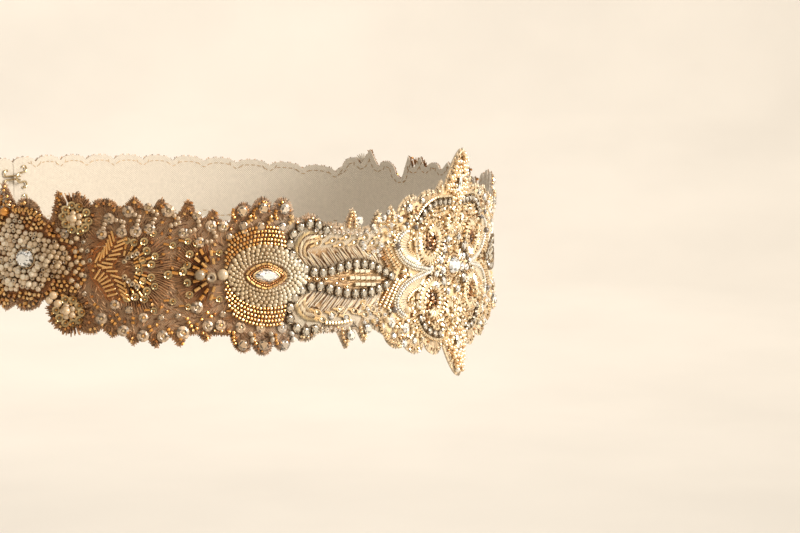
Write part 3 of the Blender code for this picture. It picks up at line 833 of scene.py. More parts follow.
# ================================================================ the bugle palmette on its rust satin ground
heart = curve([(157.6, 0.4), (156.8, 5.0), (153.0, 9.0), (148.0, 11.6), (144.0, 9.4), (146.4, 4.6), (148.8, 0.6),
               (146.2, -4.0), (144.2, -9.6), (148.4, -11.8), (153.0, -9.4), (156.8, -4.6)], closed=True)
satin(heart, lambda s, v: np.where(v > 0.3, 2.35, -2.35), 0.5, 2.4, (0.62, 0.25, 0.07), height=0.25, pitch=0.62)
for sign in (1, -1):
    # over the middle the outer bars follow the spine, under it they stand across
    shift = 0.0 if sign > 0 else -1.7
    spine = curve([(156.0 + shift, 0.3 + 0.25 * sign), (153.0 + shift, 0.3 + 1.8 * sign),
                   (150.2 + shift * 0.8, 0.3 + 4.8 * sign), (147.9 + shift * 0.6, 0.3 + 9.2 * sign)])
    s, v, a = spaced(spine, 1.74, start=0.1)
    for lean, L in ((0.62, 4.1), (-0.78, 4.1)) if sign > 0 else ((0.62, 4.0), (-1.62, 3.9)):
        turn = a + sign * lean
        off = 0.45
        q = np.stack([s + np.cos(turn) * (L / 2 + off), v + np.sin(turn) * (L / 2 + off)], -1)
        put("gold_beads", "bugle", q[:, 0], q[:, 1], 0.55, turn, (L * RNG.uniform(0.93, 1.04, len(s)), 0.86, 0.86),
            (0.90, 0.60, 0.28), claim=0.7, vary=0.08)
    # pearl chain that hangs from the palmette; sequins on gold dashes fan out beyond it
    chain = curve([(145.9, 0.3 + 2.0 * sign), (143.6, 0.3 + 4.4 * sign), (140.4, 0.3 + 6.0 * sign)])
    s, v, a = spaced(chain, 1.62)
    pearls(s, v, 2.1, IVORY, lift=0.25)
    for ang, r, size in ((0.16, 9.6, 2.7), (0.40, 11.6, 2.5), (0.66, 10.2, 2.8), (0.92, 11.8, 2.7), (1.14, 9.6, 2.7), (1.42, 9.4, 2.7),
                         (0.05, 5.6, 2.4), (0.42, 7.2, 2.5)):
        a = pi - sign * ang
        e = np.array([cos(a), sin(a)])
        base = np.array([146.0, 0.3 + 0.6 * sign])
        q = base + e * r
        sequins(q[0], q[1], size, GOLD_CREAM, lift=0.25)
        for back in (2.3, 4.6):
            if r - back > 3.4:
                q = base + e * (r - back)
                put("gold_beads", "bugle", q[0], q[1], 0.55, a, (1.9, 0.85, 0.85), GOLD_PALE if back > 3 else GOLD, claim=0.8)
    a = pi - sign * np.linspace(0.02, 1.45, 56)
    r = RNG.uniform(9.6, 14.6, 56)
    thread(146.0 + r * np.cos(a), 0.3 + 0.4 * sign + r * np.sin(a) * 0.94, a, RNG.uniform(3.0, 5.0, 56), 0.50,
           THREAD_BROWN)
    a = pi - sign * np.linspace(0.0, 1.5, 72)
    r = 13.2 + 2.4 * (np.arange(72) % 3 - 1) * 0.8 + RNG.uniform(-0.6, 0.6, 72)
    thread(146.0 + r * np.cos(a), 0.3 + 0.4 * sign + r * np.sin(a) * 0.90, a + RNG.uniform(-0.1, 0.1, 72),
           RNG.uniform(2.8, 4.4, 72), 0.48, THREAD_TAN, 0.14)
    a = pi - sign * np.linspace(0.05, 1.3, 34)
    r = RNG.uniform(5.0, 9.4, 34)
    thread(146.0 + r * np.cos(a), 0.3 + 0.4 * sign + r * np.sin(a), a, 3.2, 0.5,
           mixed([THREAD_BROWN, THREAD_RUST, THREAD_TAN], [4, 2, 2], 34), 0.0)

# ================================================================ the spray: a fan of stitches, sequins and three pearls
for sign in (1, -1):
    a = sign * np.linspace(0.04, 1.30, 56)
    r = 11.0 + 2.8 * (np.arange(56) % 3) / 2 + RNG.uniform(-0.8, 0.8, 56)
    thread(115.5 + (r - 1.2) * np.cos(a), 0.1 + (r - 1.2) * np.sin(a), a + RNG.uniform(-0.1, 0.1, 56),
           RNG.uniform(3.2, 5.6, 56), 0.46, THREAD_TAN, 0.12)
    thread(115.5 + (r - 4.0) * np.cos(a + 0.03), 0.1 + (r - 4.0) * np.sin(a + 0.03), a, RNG.uniform(4.2, 6.4, 56), 0.50,
           mixed([THREAD_BROWN, THREAD_RUST], [5, 2], 56), 0.0)
    for k, (r0, length) in enumerate(((4.6, 2.5), (5.6, 2.4), (6.6, 2.2), (5.0, 2.2))):
        a0 = sign * (0.30 + 0.34 * k)
        for r1 in (r0, r0 + 2.9):
            put("gold_beads", "bugle", 114.5 + r1 * cos(a0), 0.1 + r1 * sin(a0), 0.8, a0, (length, 1.15, 1.15),
                GOLD_PALE if k % 2 else GOLD, claim=1.0)
        if k != 3:
            sequins(114.5 + (r0 + 6.0) * cos(a0), 0.1 + (r0 + 6.0) * sin(a0), 2.7, GOLD_CREAM, lift=0.3)
    for s0, v0, b in ((129.4, 9.6, 0.9), (135.8, 13.3, 0.4), (113.6, 8.0, 0.5), (108.2, 12.2, 0.5), (124.4, 11.2, 0.7)):
        sequins(s0, v0 * sign, 2.3, GOLD_CREAM, lift=0.15)
        put("gold_beads", "bugle", s0 + 2.2, v0 * sign + 0.2, 0.5, 0.12 * sign, (2.0, 0.8, 0.8), GOLD, claim=0.8)
sequins([131.0, 126.2], [-0.4, 0.9], 3.0, GOLD_CREAM, lift=0.4)
put("gold_beads", "bugle", [128.7, 123.6], [0.2, 0.3], 0.9, 0.1, (2.4, 1.1, 1.1), GOLD, claim=1)
# the three large pearls, painted darkest at the first and lightest at the third; the second is drilled through its face
pearls(120.6, 0.0, 3.9, (0.62, 0.56, 0.46), lift=0.4, holes=False)
pearls(116.8, -0.6, 3.9, (0.86, 0.80, 0.70), lift=0.4)
pearls(112.9, 0.5, 4.0, (1.15, 1.12, 1.02), lift=0.4, holes=False)
for v0, a0 in ((2.3, 1.9), (-0.9, 1.35)):
    put("settings", "bugle", 110.3, v0, 1.0, a0, (2.4, 0.85, 0.85), (2.1, 2.1, 2.1), vary=0.05)

# ================================================================ holed crystals with tails, over and under
for s0, v0, s1, v1, z in ((150.2, 17.0, 146.8, 16.6, 3.9), (144.0, 20.0, 140.9, 18.8, 3.9), (146.2, 12.6, 145.4, 16.4, 3.6),
                          (141.6, 13.4, 140.8, 17.0, 4.0), (137.0, 14.6, 135.4, 18.2, 4.1), (131.0, 21.4, 128.0, 19.2, 4.3),
                          (125.8, 14.0, 121.8, 15.6, 3.8), (121.4, 20.4, 120.6, 17.0, 3.2), (116.6, 17.0, 115.2, 14.0, 3.8),
                          (112.4, 17.0, 112.4, 17.0, 3.8), (120.2, 11.2, 116.4, 11.8, 3.4), (152.8, 11.4, 151.8, 14.6, 3.6),
                          (137.4, 22.0, 134.4, 19.8, 3.0)):
    comma(s0, v0, s1, v1, z, beads=0 if (s0, v0) == (s1, v1) else 2)
for s0, v0, z in ((148.6, -12.2, 3.4), (144.0, -13.6, 3.2), (153.0, -17.4, 4.1), (139.2, -15.8, 3.4), (145.8, -20.8, 4.0),
                  (139.4, -22.0, 4.2), (132.8, -21.6, 4.3), (121.4, -11.2, 4.2), (126.2, -20.0, 4.4), (117.8, -17.4, 3.9),
                  (113.4, -17.0, 3.9), (133.4, -15.4, 2.6), (127.8, -14.4, 2.4)):
    if z > 3.3:
        comma(s0, v0, s0, v0, z, beads=0)
    else:
        rhinestone(s0, v0, z, cup=False)
for s0, v0, s1, v1 in ((148.2, -14.8, 146.6, -17.6), (149.8, -17.4, 148.0, -19.0), (142.4, -15.4, 142.6, -18.6),
                       (137.4, -18.0, 136.4, -20.4), (131.4, -18.6, 129.6, -20.6), (125.0, -14.6, 123.2, -18.2),
                       (118.4, -12.2, 116.2, -14.6), (121.4, -16.2, 121.6, -19.2), (111.4, -19.0, 108.4, -19.6),
                       (155.6, -12.4, 153.8, -14.0)):
    seeds(curve([(s0, v0), ((s0 + s1) / 2 + 0.2, (v0 + v1) / 2), (s1, v1)]), 1.45, GOLD, lift=0.1, pitch=1.5)
comma(127.4, 17.4, 130.0, 16.4, 1.6, beads=2)

# ================================================================ the eye medallion
EYE = np.array([96.8, 0.3])


def eye_line(plus, minus, half, power=2.0, n=160):
    t = np.linspace(0, 2 * pi, n, endpoint=False)
    c, s_ = np.cos(t), np.sin(t)
    a = np.where(c > 0, plus, minus)
    p = np.where(c > 0, power, power * 0.88)
    r = (np.abs(c) ** p + np.abs(s_) ** p) ** (-1 / p)
    pts = np.stack([EYE[0] + a * r * c, EYE[1] + half * r * s_], -1)
    return np.vstack([pts, pts[:1]])


RAYS = 37
for k in range(5):
    line = eye_line(8.9 + 1.10 * k, 9.6 + 1.45 * k, 5.35 + 1.28 * k, n=720)
    d = np.r_[0, np.cumsum(np.linalg.norm(np.diff(line, axis=0), axis=1))]
    at = ((np.arange(RAYS) + 0.40 * k) / RAYS) % 1.0 * d[-1]
    s, v = np.interp(at, d, line[:, 0]), np.interp(at, d, line[:, 1])
    z = (1.30 + 0.145 * k) * RNG.uniform(0.92, 1.08, RAYS)
    s, v = s + RNG.uniform(-0.10, 0.10, RAYS), v + RNG.uniform(-0.10, 0.10, RAYS)
    put("pearls", "ball", s, v, 0.5 + 0.65 * np.sin((k + 0.8) / 5.4 * pi), RNG.uniform(0, 6, RAYS), (z, z, z),
        mixed([(0.86, 0.77, 0.60), (0.95, 0.88, 0.71), (0.76, 0.64, 0.45)], [5, 4, 2], RAYS), claim=0.7, vary=0.07)
    thread(s, v, np.arctan2(v - EYE[1], s - EYE[0]), 1.9, 0.9, (0.98, 0.86, 0.62), low=True, height=0.5)
inner = eye_line(7.2, 7.6, 4.3, 1.55)
put("gold_beads", "bugle", *spaced(inner, 2.2)[:2], 0.85, spaced(inner, 2.2)[2], (2.05, 0.9, 0.9), GOLD_PALE, claim=0.7)
seeds(eye_line(6.2, 6.5, 3.35, 1.5), 0.85, COPPER, lift=0.55, pitch=0.85)
satin(eye_line(8.4, 9.0, 4.8), 0.0, 0.5, 2.2, THREAD_RUST, height=0.25, pitch=0.7)
satin([(112, 6), (108, 13), (100, 17.5), (90, 17), (88.5, 12), (94, 10.6), (100, 10), (106, 6.6), (109, 2)], 2.6, 0.5, 2.4,
      THREAD_RUST, height=0.2, pitch=0.75)
satin([(112, -5.6), (108, -12.6), (100, -16.6), (90, -16.4), (88.5, -11.6), (94, -10.2), (100, -9.6), (106, -6.2), (109, -2)],
      -2.6, 0.5, 2.4, THREAD_RUST, height=0.2, pitch=0.75)
for sign in (1, -1):
    for k in range(5):
        angle = np.linspace(0.16 + 0.17 * k, 2.02 - 0.05 * k, 90)
        strand = np.stack([EYE[0] + (14.9 + 1.05 * k) * np.cos(angle) * np.where(np.cos(angle) > 0, 1.0, 1.15),
                           EYE[1] + sign * (11.4 + 1.42 * k) * np.sin(angle) ** 0.92], -1)
        seeds(strand, 1.24, (0.80, 0.42, 0.11), lift=0.15 + 0.2 * (k % 2), every=(3, (0.92, 0.72, 0.45)), pitch=1.3)
# scallops over and under it, each with two crystals and a hook of beads
for k, c in enumerate((90.6, 98.6, 106.0)):
    rhinestone(c, 24.0 - 1.4 * (k == 2), 4.3, tint=WHITE, cup=False, lift=0.2)
    rhinestone(c + 0.6 - 1.2 * (k == 2), 17.6, 3.7, cup=False, lift=0.1)
    seeds(curve([(c - 2.6, 21.6), (c - 3.2, 19.8), (c - 1.6, 18.6)]), 1.45, GOLD_PALE, lift=0.2)
    seeds(curve([(c + 3.0, 23.6), (c + 3.3, 21.4), (c + 2.4, 20.0)]), 1.2, GOLD, lift=0.1)
    rhinestone(c, -23.6, 4.2, cup=False, lift=0.2)
    comma(c + 0.4, -17.6, c + 0.4, -17.6, 3.8, beads=0)
    s, v, a = spaced(curve([(c - 2.2, -19.0), (c - 3.6, -20.6), (c - 3.2, -22.8)]), 1.9)
    put("pearls", "ball", s, v, 1.0, a, (2.3, 1.75, 1.6), CLEAR, claim=0.9)
    seeds(curve([(c + 2.8, -19.6), (c + 3.2, -21.4), (c + 2.4, -23.6)]), 1.2, GOLD, lift=0.1)
rhinestone([110.2, 104.8, 112.6], [13.6, 15.6, -13.2], 2.8, cup=False)

# ================================================================ the two cup chains and the fringe between them
TOP_CHAIN = curve([(73.2, 16.4), (79.4, 19.0), (85.4, 16.6), (88.0, 12.0), (86.2, 6.2), (81.0, 2.3), (73.0, 1.5),
                   (64.2, 3.6), (55.0, 3.9), (46.8, 1.5), (41.2, -1.2)])
LOW_CHAIN = curve([(77.8, -18.4), (83.6, -19.0), (88.0, -14.6), (87.4, -9.4), (83.4, -5.0), (76.6, -3.2), (69.0, -5.0),
                   (60.0, -6.4), (51.0, -6.0), (44.2, -4.0)])
for line in (TOP_CHAIN, LOW_CHAIN):
    d = np.r_[0, np.cumsum(np.linalg.norm(np.diff(line, axis=0), axis=1))]
    n = int(round(d[-1] / 3.72))
    at = np.linspace(0.3, d[-1] - 0.3, n)
    s, v = np.interp(at, d, line[:, 0]), np.interp(at, d, line[:, 1])
    a = np.arctan2(np.gradient(v), np.gradient(s))
    rhinestone(s, v, 3.35, ang=a, tint=(0.56, 0.49, 0.38), lift=0.15)
    ms, mv = (s[1:] + s[:-1]) / 2, (v[1:] + v[:-1]) / 2
    put("settings", "link", ms, mv, 0.10, np.arctan2(np.diff(v), np.diff(s)), (1.2, 1.6, 0.8), (0.32, 0.26, 0.20), claim=0.6)
for sign in (1, -1):
    base_s = np.arange(46.5, 84.0, 0.31)
    chain = TOP_CHAIN if sign > 0 else LOW_CHAIN
    run = chain[(chain[:, 0] > 44) & (np.abs(chain[:, 1]) < 7.5)]
    order = np.argsort(run[:, 0])
    base_v = np.interp(base_s, run[order, 0], run[order, 1]) + sign * 1.75
    n = len(base_s)
    wave = 0.86 + 0.16 * np.sin(base_s * 0.85) + RNG.uniform(-0.17, 0.17, n)
    a = sign * (0.80 + 0.10 * np.sin(base_s * 1.9) + RNG.uniform(-0.10, 0.10, n))
    L = (7.0 if sign > 0 else 8.0) * wave
    # painted glints and shade: the fringe's threads run light, dark, darker, light, dark in turn, partly the threads'
    # own silver and brown and partly painted glints on the lit thread and painted shade between threads; the light ones
    # are also longer, thinner and lifted higher
    painted_glint_and_shade = np.array([(1.26, 1.18, 1.02), (0.44, 0.26, 0.13), (0.24, 0.12, 0.055), (1.10, 0.93, 0.70), (0.38, 0.21, 0.10)])
    bright = np.array([1.0, 0.0, 0.0, 0.8, 0.0])[np.arange(n) % 5]
    L = np.where(bright > 0, L, L * 0.9)
    thread(base_s + np.cos(a) * L / 2, base_v + np.sin(a) * L / 2, a, L, 0.38 - 0.02 * bright, painted_glint_and_shade[np.arange(n) % 5],
           0.08 + 0.40 * bright, height=0.6, vary=0.12)
    base_s, base_v = base_s[::3] + 0.2, base_v[::3]
    a = sign * (1.1 + RNG.uniform(-0.2, 0.2, len(base_s)))
    L = RNG.uniform(3.0, 5.0, len(base_s))
    thread(base_s + np.cos(a) * L / 2, base_v + np.sin(a) * L / 2, a, L, 0.45, THREAD_BROWN, 0.0)
    # the curl of stitches inside the chain's bend
    bend = curve([(84.4, 0.3 + sign * 6.2), (84.8, 0.3 + sign * 10.5), (81.8, 0.3 + sign * 14.4), (76.5, 0.3 + sign * 15.4)])
    # painted glints and shade: the curl's rows are laid light and dark in turn, the light rows lifted higher, partly
    # the threads' own colours and partly painted glints and shade on the metal thread
    for off, shade in ((-0.2, (0.98, 0.82, 0.56)), (0.6, (0.34, 0.19, 0.09)), (1.4, (1.08, 0.96, 0.78)), (2.2, (0.50, 0.31, 0.15)),
                       (3.0, (1.0, 0.84, 0.60)), (3.8, (0.34, 0.19, 0.09))):
        s, v, a = spaced(beside(bend, off * sign), 0.62)
        thread(s, v, a - sign * 0.62 + RNG.uniform(-0.14, 0.14, len(s)), RNG.uniform(2.0, 3.2, len(s)), 0.34, shade,
               0.10 + 0.3 * (shade[0] > 0.9), height=0.5)
# close gold-brown stitching inside the almond, then bugle bars and gold dashes
satin(ellipse(60.0, -1.2, 18.6, 4.3), lambda s, v: 0.16 * np.sin(s * 0.5), 0.5, 2.4, (0.66, 0.42, 0.20), height=0.25, pitch=0.85)
for v0, s0, s1 in ((1.35, 60.6, 50.6), (-1.15, 62.8, 46.6), (-3.45, 60.2, 48.2)):
    n = int((s0 - s1) / 2.55)
    s = s0 - 1.3 - np.arange(n) * 2.55
    put("gold_beads", "bugle", s, v0 + 0.05 * (s - 55), 0.8, pi - 0.03, (2.3, 1.4, 1.4), (0.98, 0.86, 0.62), claim=1.0,
        vary=0.06)
for s0, v0, a0 in ((80.0, -0.8, 0.05), (76.6, -0.9, 0.0), (72.8, -0.9, -0.1), (67.6, 0.9, 0.3), (68.2, -2.6, -0.2),
                   (70.6, 0.4, 0.2), (65.4, -1.2, 0.0), (63.6, 1.6, 0.3), (63.4, -4.0, -0.2)):
    put("gold_beads", "loop", s0, v0, 0.45, a0, (2.9, 1.7, 2.0), (0.80, 0.42, 0.13), claim=1.1)
    put("gold_beads", "seed", s0, v0, 0.45, a0, (1.1, 1.0, 1.0), GOLD_PALE)

# ================================================================ pale net fields with little gold loops
for sign in (1, -1):
    for s0, v0, a0 in ((76.6, 11.6, 2.7), (70.2, 12.4, 2.8), (74.6, 14.0, 2.9), (66.6, 10.8, 3.0), (60.2, 11.6, 2.8),
                       (55.2, 13.2, 3.0), (64.0, 13.6, 2.9), (51.4, 11.2, 2.6), (47.8, 13.6, 2.9)):
        v1 = v0 * sign + 0.3 - (1.4 if sign < 0 else 0)
        a1 = a0 * sign
        put("gold_beads", "loop", s0, v1, 0.5, a1, (3.6, 2.3, 2.6), (0.92, 0.60, 0.26), claim=1.4)
        put("gold_beads", "seed", s0 - 0.6 * cos(a1), v1 - 0.6 * sin(a1), 0.5, a1, (1.2, 1.0, 1.0), GOLD_CREAM)
        put("gold_beads", "bugle", s0 + 2.6 * cos(a1 + pi), v1 + 2.6 * sin(a1 + pi), 0.5, a1, (2.0, 0.85, 0.85),
            (0.86, 0.52, 0.18), claim=0.9)
line = curve([(78.6, 16.6), (73.5, 15.2), (68.0, 16.2), (62.5, 15.2), (57.0, 15.0)])
s, v, a = spaced(line, 2.0)
pearls(s, v + RNG.uniform(-0.4, 0.4, len(s)), RNG.uniform(1.3, 2.1, len(s)), (0.82, 0.70, 0.56), lift=0.1)
s, v, a = spaced(curve([(79.5, -21.0), (73.5, -18.6), (67.6, -18.8), (62.5, -18.2)]), 2.0)
pearls(s, v + RNG.uniform(-0.4, 0.4, len(s)), RNG.uniform(1.2, 1.9, len(s)), (0.82, 0.70, 0.56), lift=0.1)
seeds(curve([(74.0, -16.4), (68.0, -16.6), (62.0, -16.0)]), 1.5, GOLD_PALE, lift=0.1)
rhinestone([70.6, 64.4], [-14.2, -14.8], 2.6, cup=False)
# sprigs that stand over the edges
rhinestone([58.6, 51.2, 49.0], [19.6, 17.2, 19.8], [3.8, 2.7, 2.7], cup=False, lift=0.1, tint=(0.84, 0.77, 0.66))
rhinestone([62.9, 54.6], [-21.2, -19.2], [4.2, 4.0], cup=False, lift=0.5, tint=(0.84, 0.77, 0.66))
for c, side, tip in ((61.8, 1, 23.4), (49.6, 1, 22.4), (42.6, 1, 23.8), (64.8, -1, -25.0), (56.2, -1, -23.4)):
    b = 17.0 if side > 0 else -18.0
    for drop, shade in (([(c - 1.5, b), (c - 1.3, (b + tip) / 2), (c - 0.1, tip)], GOLD_PALE),
                        ([(c + 1.5, b), (c + 1.3, (b + tip) / 2), (c + 0.3, tip - side * 1.2)], GOLD)):
        s, v, a = spaced(curve(drop), 1.45)
        put("gold_beads", "ball", s, v, 0.75, a, 1.3, shade, claim=0.7)
rhinestone([45.8, 43.8], [20.4, 22.2], 2.3, cup=False, tint=WHITE)

# ================================================================ joint between almond and centre: gold columns, pearls
for pts in ([(45.6, 9.6), (43.2, 6.0), (40.6, 3.2), (38.4, 0.8)], [(44.2, 10.6), (41.6, 7.0), (39.2, 4.2), (36.6, 1.6)],
            [(38.4, -2.2), (41.0, -5.2), (43.6, -8.6), (46.2, -12.4)], [(36.6, -2.8), (39.4, -6.2), (41.8, -9.6), (44.2, -13.2)]):
    seeds(curve(pts), 1.45, GOLD, lift=0.35, every=(2, GOLD_PALE))
seeds(curve([(47.4, 8.4), (45.0, 4.8), (42.8, 2.4)]), 1.3, COPPER, lift=0.1)
seeds(curve([(42.6, -5.0), (45.4, -8.4), (48.2, -11.6)]), 1.3, COPPER, lift=0.1)
pearls([40.6, 38.6], [-13.4, 9.8], 2.6, (0.16, 0.12, 0.09), lift=0.3, holes=False)
pearls([33.0, 44.6, 36.2], [-14.0, -16.8, 16.4], 2.5, (0.80, 0.62, 0.40), lift=0.3, holes=False)

# the net lobe under the wing
comma(41.2, -17.8, 41.2, -17.8, 3.9, beads=0)
comma(33.4, -20.6, 33.4, -20.6, 3.9, beads=0)
rhinestone([35.4, 40.8, 28.8, 46.4], [-26.0, -22.8, -25.6, -19.0], [3.4, 2.6, 2.6, 2.6], cup=False, tint=WHITE)
put("gold_beads", "ring", [28.7, 37.4], [-20.4, -22.2], 0.8, 0, (2.9, 2.9, 2.2), GOLD_PALE, claim=1.5)
sequins([44.4, 37.8, 31.6, 26.6], [-21.8, -26.4, -27.6, -28.6], 2.5, GOLD_CREAM)
seeds(curve([(47.8, -15.6), (47.2, -20.4), (43.4, -24.4), (38.8, -25.6)]), 1.4, GOLD, lift=0.1)
seeds(curve([(31.0, -17.0), (30.0, -22.6), (32.4, -24.6)]), 1.4, GOLD_PALE, lift=0.1)

# ================================================================ the centre: wings
for sign in (1, -1):
    def m(points):
        return [(x, -0.6 + sign * y) for x, y in points]
    outer = curve(m([(17.4, 0.5), (23.0, 1.5), (29.4, 2.9), (35.0, 5.6), (38.4, 9.8), (37.4, 13.4), (33.4, 15.8)]))
    inner = curve(m([(21.0, 3.6), (26.4, 5.0), (30.8, 7.6), (33.0, 10.6), (32.6, 13.4)]))
    seeds(outer, 1.25, (0.84, 0.80, 0.71), kind="pearls", lift=0.5, pitch=1.12)
    seeds(beside(outer, -1.05 * sign), 0.95, (0.78, 0.68, 0.52), kind="pearls", lift=0.25, pitch=0.95)
    s, v, a = spaced(outer, 1.30, start=4.2, end=0.6)
    i_s, i_v, _ = spaced(inner, np.linalg.norm(np.diff(inner, axis=0), axis=1).sum() / max(len(s), 1))
    k = min(len(s), len(i_s))
    p0 = np.stack([s[:k] + (i_s[:k] - s[:k]) * 0.22, v[:k] + (i_v[:k] - v[:k]) * 0.22], -1)
    d = np.stack([i_s[:k] - s[:k] - 1.0, i_v[:k] - v[:k] + sign * 0.9], -1)
    L = np.clip(np.linalg.norm(d, axis=1), 2.2, 5.0) * 0.86
    d /= np.linalg.norm(d, axis=1, keepdims=True)
    mid = p0 + d * (L / 2)[:, None]
    turn = np.arctan2(d[:, 1], d[:, 0])
    put("gold_beads", "bugle", mid[:, 0], mid[:, 1], 0.7, turn, (L, 0.92, 0.92), (0.92, 0.81, 0.60), claim=0.8, vary=0.07)
    # painted shade: a darker gold wire lies between each two of them, standing in for the shade between the bars
    put("gold_beads", "bugle", mid[:-1, 0] / 2 + mid[1:, 0] / 2, mid[:-1, 1] / 2 + mid[1:, 1] / 2, 0.3, turn[:-1],
        (L[:-1] * 0.92, 0.5, 0.5), (0.74, 0.38, 0.10), vary=0.08)
    # and a row of gold seeds closes the bars at their inner ends
    tips = p0 + d * (L + 0.7)[:, None]
    seeds(curve(tips), 1.2, GOLD, lift=0.35)
    seeds(curve(m([(20.6, 6.6), (24.0, 8.6), (26.6, 12.0)])), 1.2, GOLD, lift=0.3)

# ================================================================ the centre: scrolls of beads
def scroll(centre, r0, r1, a0, turns, rows, flip=1.0, squash=1.0):
    t = np.linspace(0, 1, 140)
    ang = a0 + flip * t * turns * 2 * pi
    for j, (tint, size, up) in enumerate(rows):
        r = r0 + (r1 - r0) * t - j * 1.72
        keep = r > 0.5
        line = np.stack([centre[0] + r * np.cos(ang), centre[1] + r * np.sin(ang) * squash], -1)[keep]
        if len(line) <= 4:
            continue
        if j % 2 == 0:
            seeds(line, size, tint, lift=up, every=(4, GOLD_CREAM), pitch=size * 1.02)
        else:
            s, v, a = spaced(line, 1.32)
            put("gold_beads", "bugle", s, v, up + 0.55, a + pi / 2 - 0.35 * flip, (2.5, 1.08, 1.08), tint, claim=0.9, vary=0.10)


for sign in (1, -1):
    c = (17.2, 10.6) if sign > 0 else (16.2, -12.4)
    scroll(c, 5.6, 10.2, sign * 0.9, 0.92, ((GOLD, 1.7, 0.75), ((1.0, 0.86, 0.58), 1.9, 0.7), (GOLD, 1.7, 0.6)), sign)
    # two rows of pale bugles stand round the heart, on the wing's side
    lo, hi = (-0.65, 0.35) if sign > 0 else (-0.15, 0.97)
    for r, tint in ((10.6, (1.0, 0.92, 0.76)), (9.2, (0.98, 0.86, 0.64))):
        bugles(ellipse(c[0], c[1], r, r, n=60, start=lo, end=hi), 2.5, 1.15, tint, lift=0.7)
    c2 = (4.6, 17.6 * sign + (0.0 if sign > 0 else 0.4))
    scroll(c2, 1.6, 6.8, pi - sign * 0.6, 1.1, ((GOLD, 1.7, 0.8), ((1.0, 0.86, 0.58), 1.8, 0.7)), -sign)
    # dark amber heart of the scroll
    p = hexgrid(c[0] - 4.2, c[0] + 4.2, c[1] - 4.2, c[1] + 4.2, 1.55, 0.2)
    p = p[np.hypot(p[:, 0] - c[0], p[:, 1] - c[1]) < 4.1]
    put("gold_beads", "seed", p[:, 0], p[:, 1], 0.65, RNG.uniform(0, 3, len(p)), 1.6,
        mixed([(0.20, 0.085, 0.025), (0.40, 0.17, 0.045), AMBER, (0.12, 0.06, 0.025)], [4, 3, 1, 2], len(p)), claim=0.75)
    # antique stones round the outside
    if sign > 0:
        line = curve([(26.6, 17.4), (22.4, 22.0), (16.0, 24.6), (9.6, 24.8), (4.4, 24.6)])
    else:
        line = curve([(25.6, -16.2), (22.2, -21.2), (16.6, -24.0), (10.4, -24.8)])
    s, v, a = spaced(line, 3.4)
    rhinestone(s, v, 2.9, ang=a, tint=(0.58, 0.50, 0.39), lift=0.3)
    ms, mv = (s[1:] + s[:-1]) / 2, (v[1:] + v[:-1]) / 2
    put("settings", "link", ms, mv, 0.3, np.arctan2(np.diff(v), np.diff(s)), (1.2, 1.9, 0.9), (0.30, 0.26, 0.22), claim=0.6)
    seeds(beside(line, 2.1 * sign * (-1)), 1.3, GOLD_PALE, lift=0.1)
# cluster of stones about the big oval
for s0, v0, z, cup in ((8.6, 6.8, 4.2, True), (9.6, 2.6, 3.2, False), (8.2, -1.4, 3.6, False), (13.2, -2.2, 3.2, False),
                       (8.8, -5.4, 4.2, True), (13.2, -6.4, 3.8, False), (4.6, 10.4, 3.2, False), (4.2, -9.6, 3.4, False),
                       (13.2, 3.2, 3.2, True), (12.8, 7.0, 2.6, False), (0.9, 13.6, 3.0, False), (0.9, -13.0, 3.0, False),
                       (16.8, 0.2, 3.0, False), (17.6, -3.6, 2.6, True)):
    rhinestone(s0, v0, z, cup=cup, lift=0.5, tint=WHITE if not cup else (0.66, 0.61, 0.53))
for k in range(9):
    a0 = 0.35 + k * 0.33 - 1.6
    put("settings", "bugle", 0.6 + 6.3 * cos(a0), 7.2 * sin(a0) * 0.9, 1.2, a0 + 0.35, (3.0, 0.9, 0.9), (2.6, 2.6, 2.5), vary=0.08)
t = np.arange(24) * 2 * pi / 24
seeds(ellipse(0.0, 0.0, 5.2, 4.2, n=120), 1.15, GOLD, lift=0.5, mirror=False)

# ================================================================ the centre: horns over and under
HORN_TOP = [(-10, 29.8), (-10, 46), (10, 46), (10, 29.8), (7.0, 25.6), (0, 22.4), (-7.0, 25.6)]
HORN_LOW = [(-10, -28.6), (-10, -43), (10, -43), (10, -28.6), (7.0, -24.8), (0, -22.0), (-7.0, -24.8)]
for c, v0 in ((0.0, 31.4), (0.0, -28.6)):
    put("crystals", "baguette", c, v0, 1.3, pi / 2, (5.4, 2.1, 1.7), WHITE, mirror=False, claim=2.0)
    put("settings", "link", c, v0, 0.1, pi / 2, (5.9, 2.6, 1.4), (0.8, 0.8, 0.8), mirror=False)
for poly in (HORN_TOP, HORN_LOW):
    p = filled(poly, 1.98, 0.24, clear=0.75, margin=0.8)
    size = RNG.uniform(1.8, 2.05, len(p))
    put("gold_beads", "ball", p[:, 0], p[:, 1], 0.8 + 0.5 * np.clip(1 - np.abs(p[:, 0]) / 8, 0, 1),
        RNG.uniform(0, 6, len(p)), (size, size, size), mixed([GOLD, GOLD_PALE, GOLD_CREAM, WHITE], [5, 4, 2, 1], len(p)),
        mirror=False, claim=0.8)

# the leaves beside them
for b, t_, w in (((11.6, 24.0), (12.9, 32.6), 3.0), ((19.6, 24.4), (21.6, 29.2), 4.2), ((30.8, 22.2), (32.9, 27.6), 4.0),
                 ((14.6, -25.4), (16.2, -31.2), 4.2), ((27.4, -24.4), (29.0, -29.6), 4.6)):
    leaf_stitches(b, t_, w, THREAD_PALE, count=12, width=0.5, vary=0.2)
rhinestone([32.6, 24.6, 36.8], [23.6, 26.0, 19.4], [3.6, 2.6, 2.6], cup=False, tint=WHITE, lift=0.1)
put("settings", "ring", 29.6, 20.6, 1.0, 0, (3.0, 3.0, 2.2), (2.0, 2.0, 2.0))
pearls([34.0, 28.4], [17.6, 16.2], 2.1, (0.14, 0.11, 0.09), lift=0.3, holes=False)
seeds(curve([(40.4, 18.8), (38.4, 14.6), (40.6, 11.4)]), 1.4, GOLD_PALE, lift=0.1)
pearls([42.6, 40.8, 43.4], [17.6, 20.6, 14.0], 1.9, WHITE)

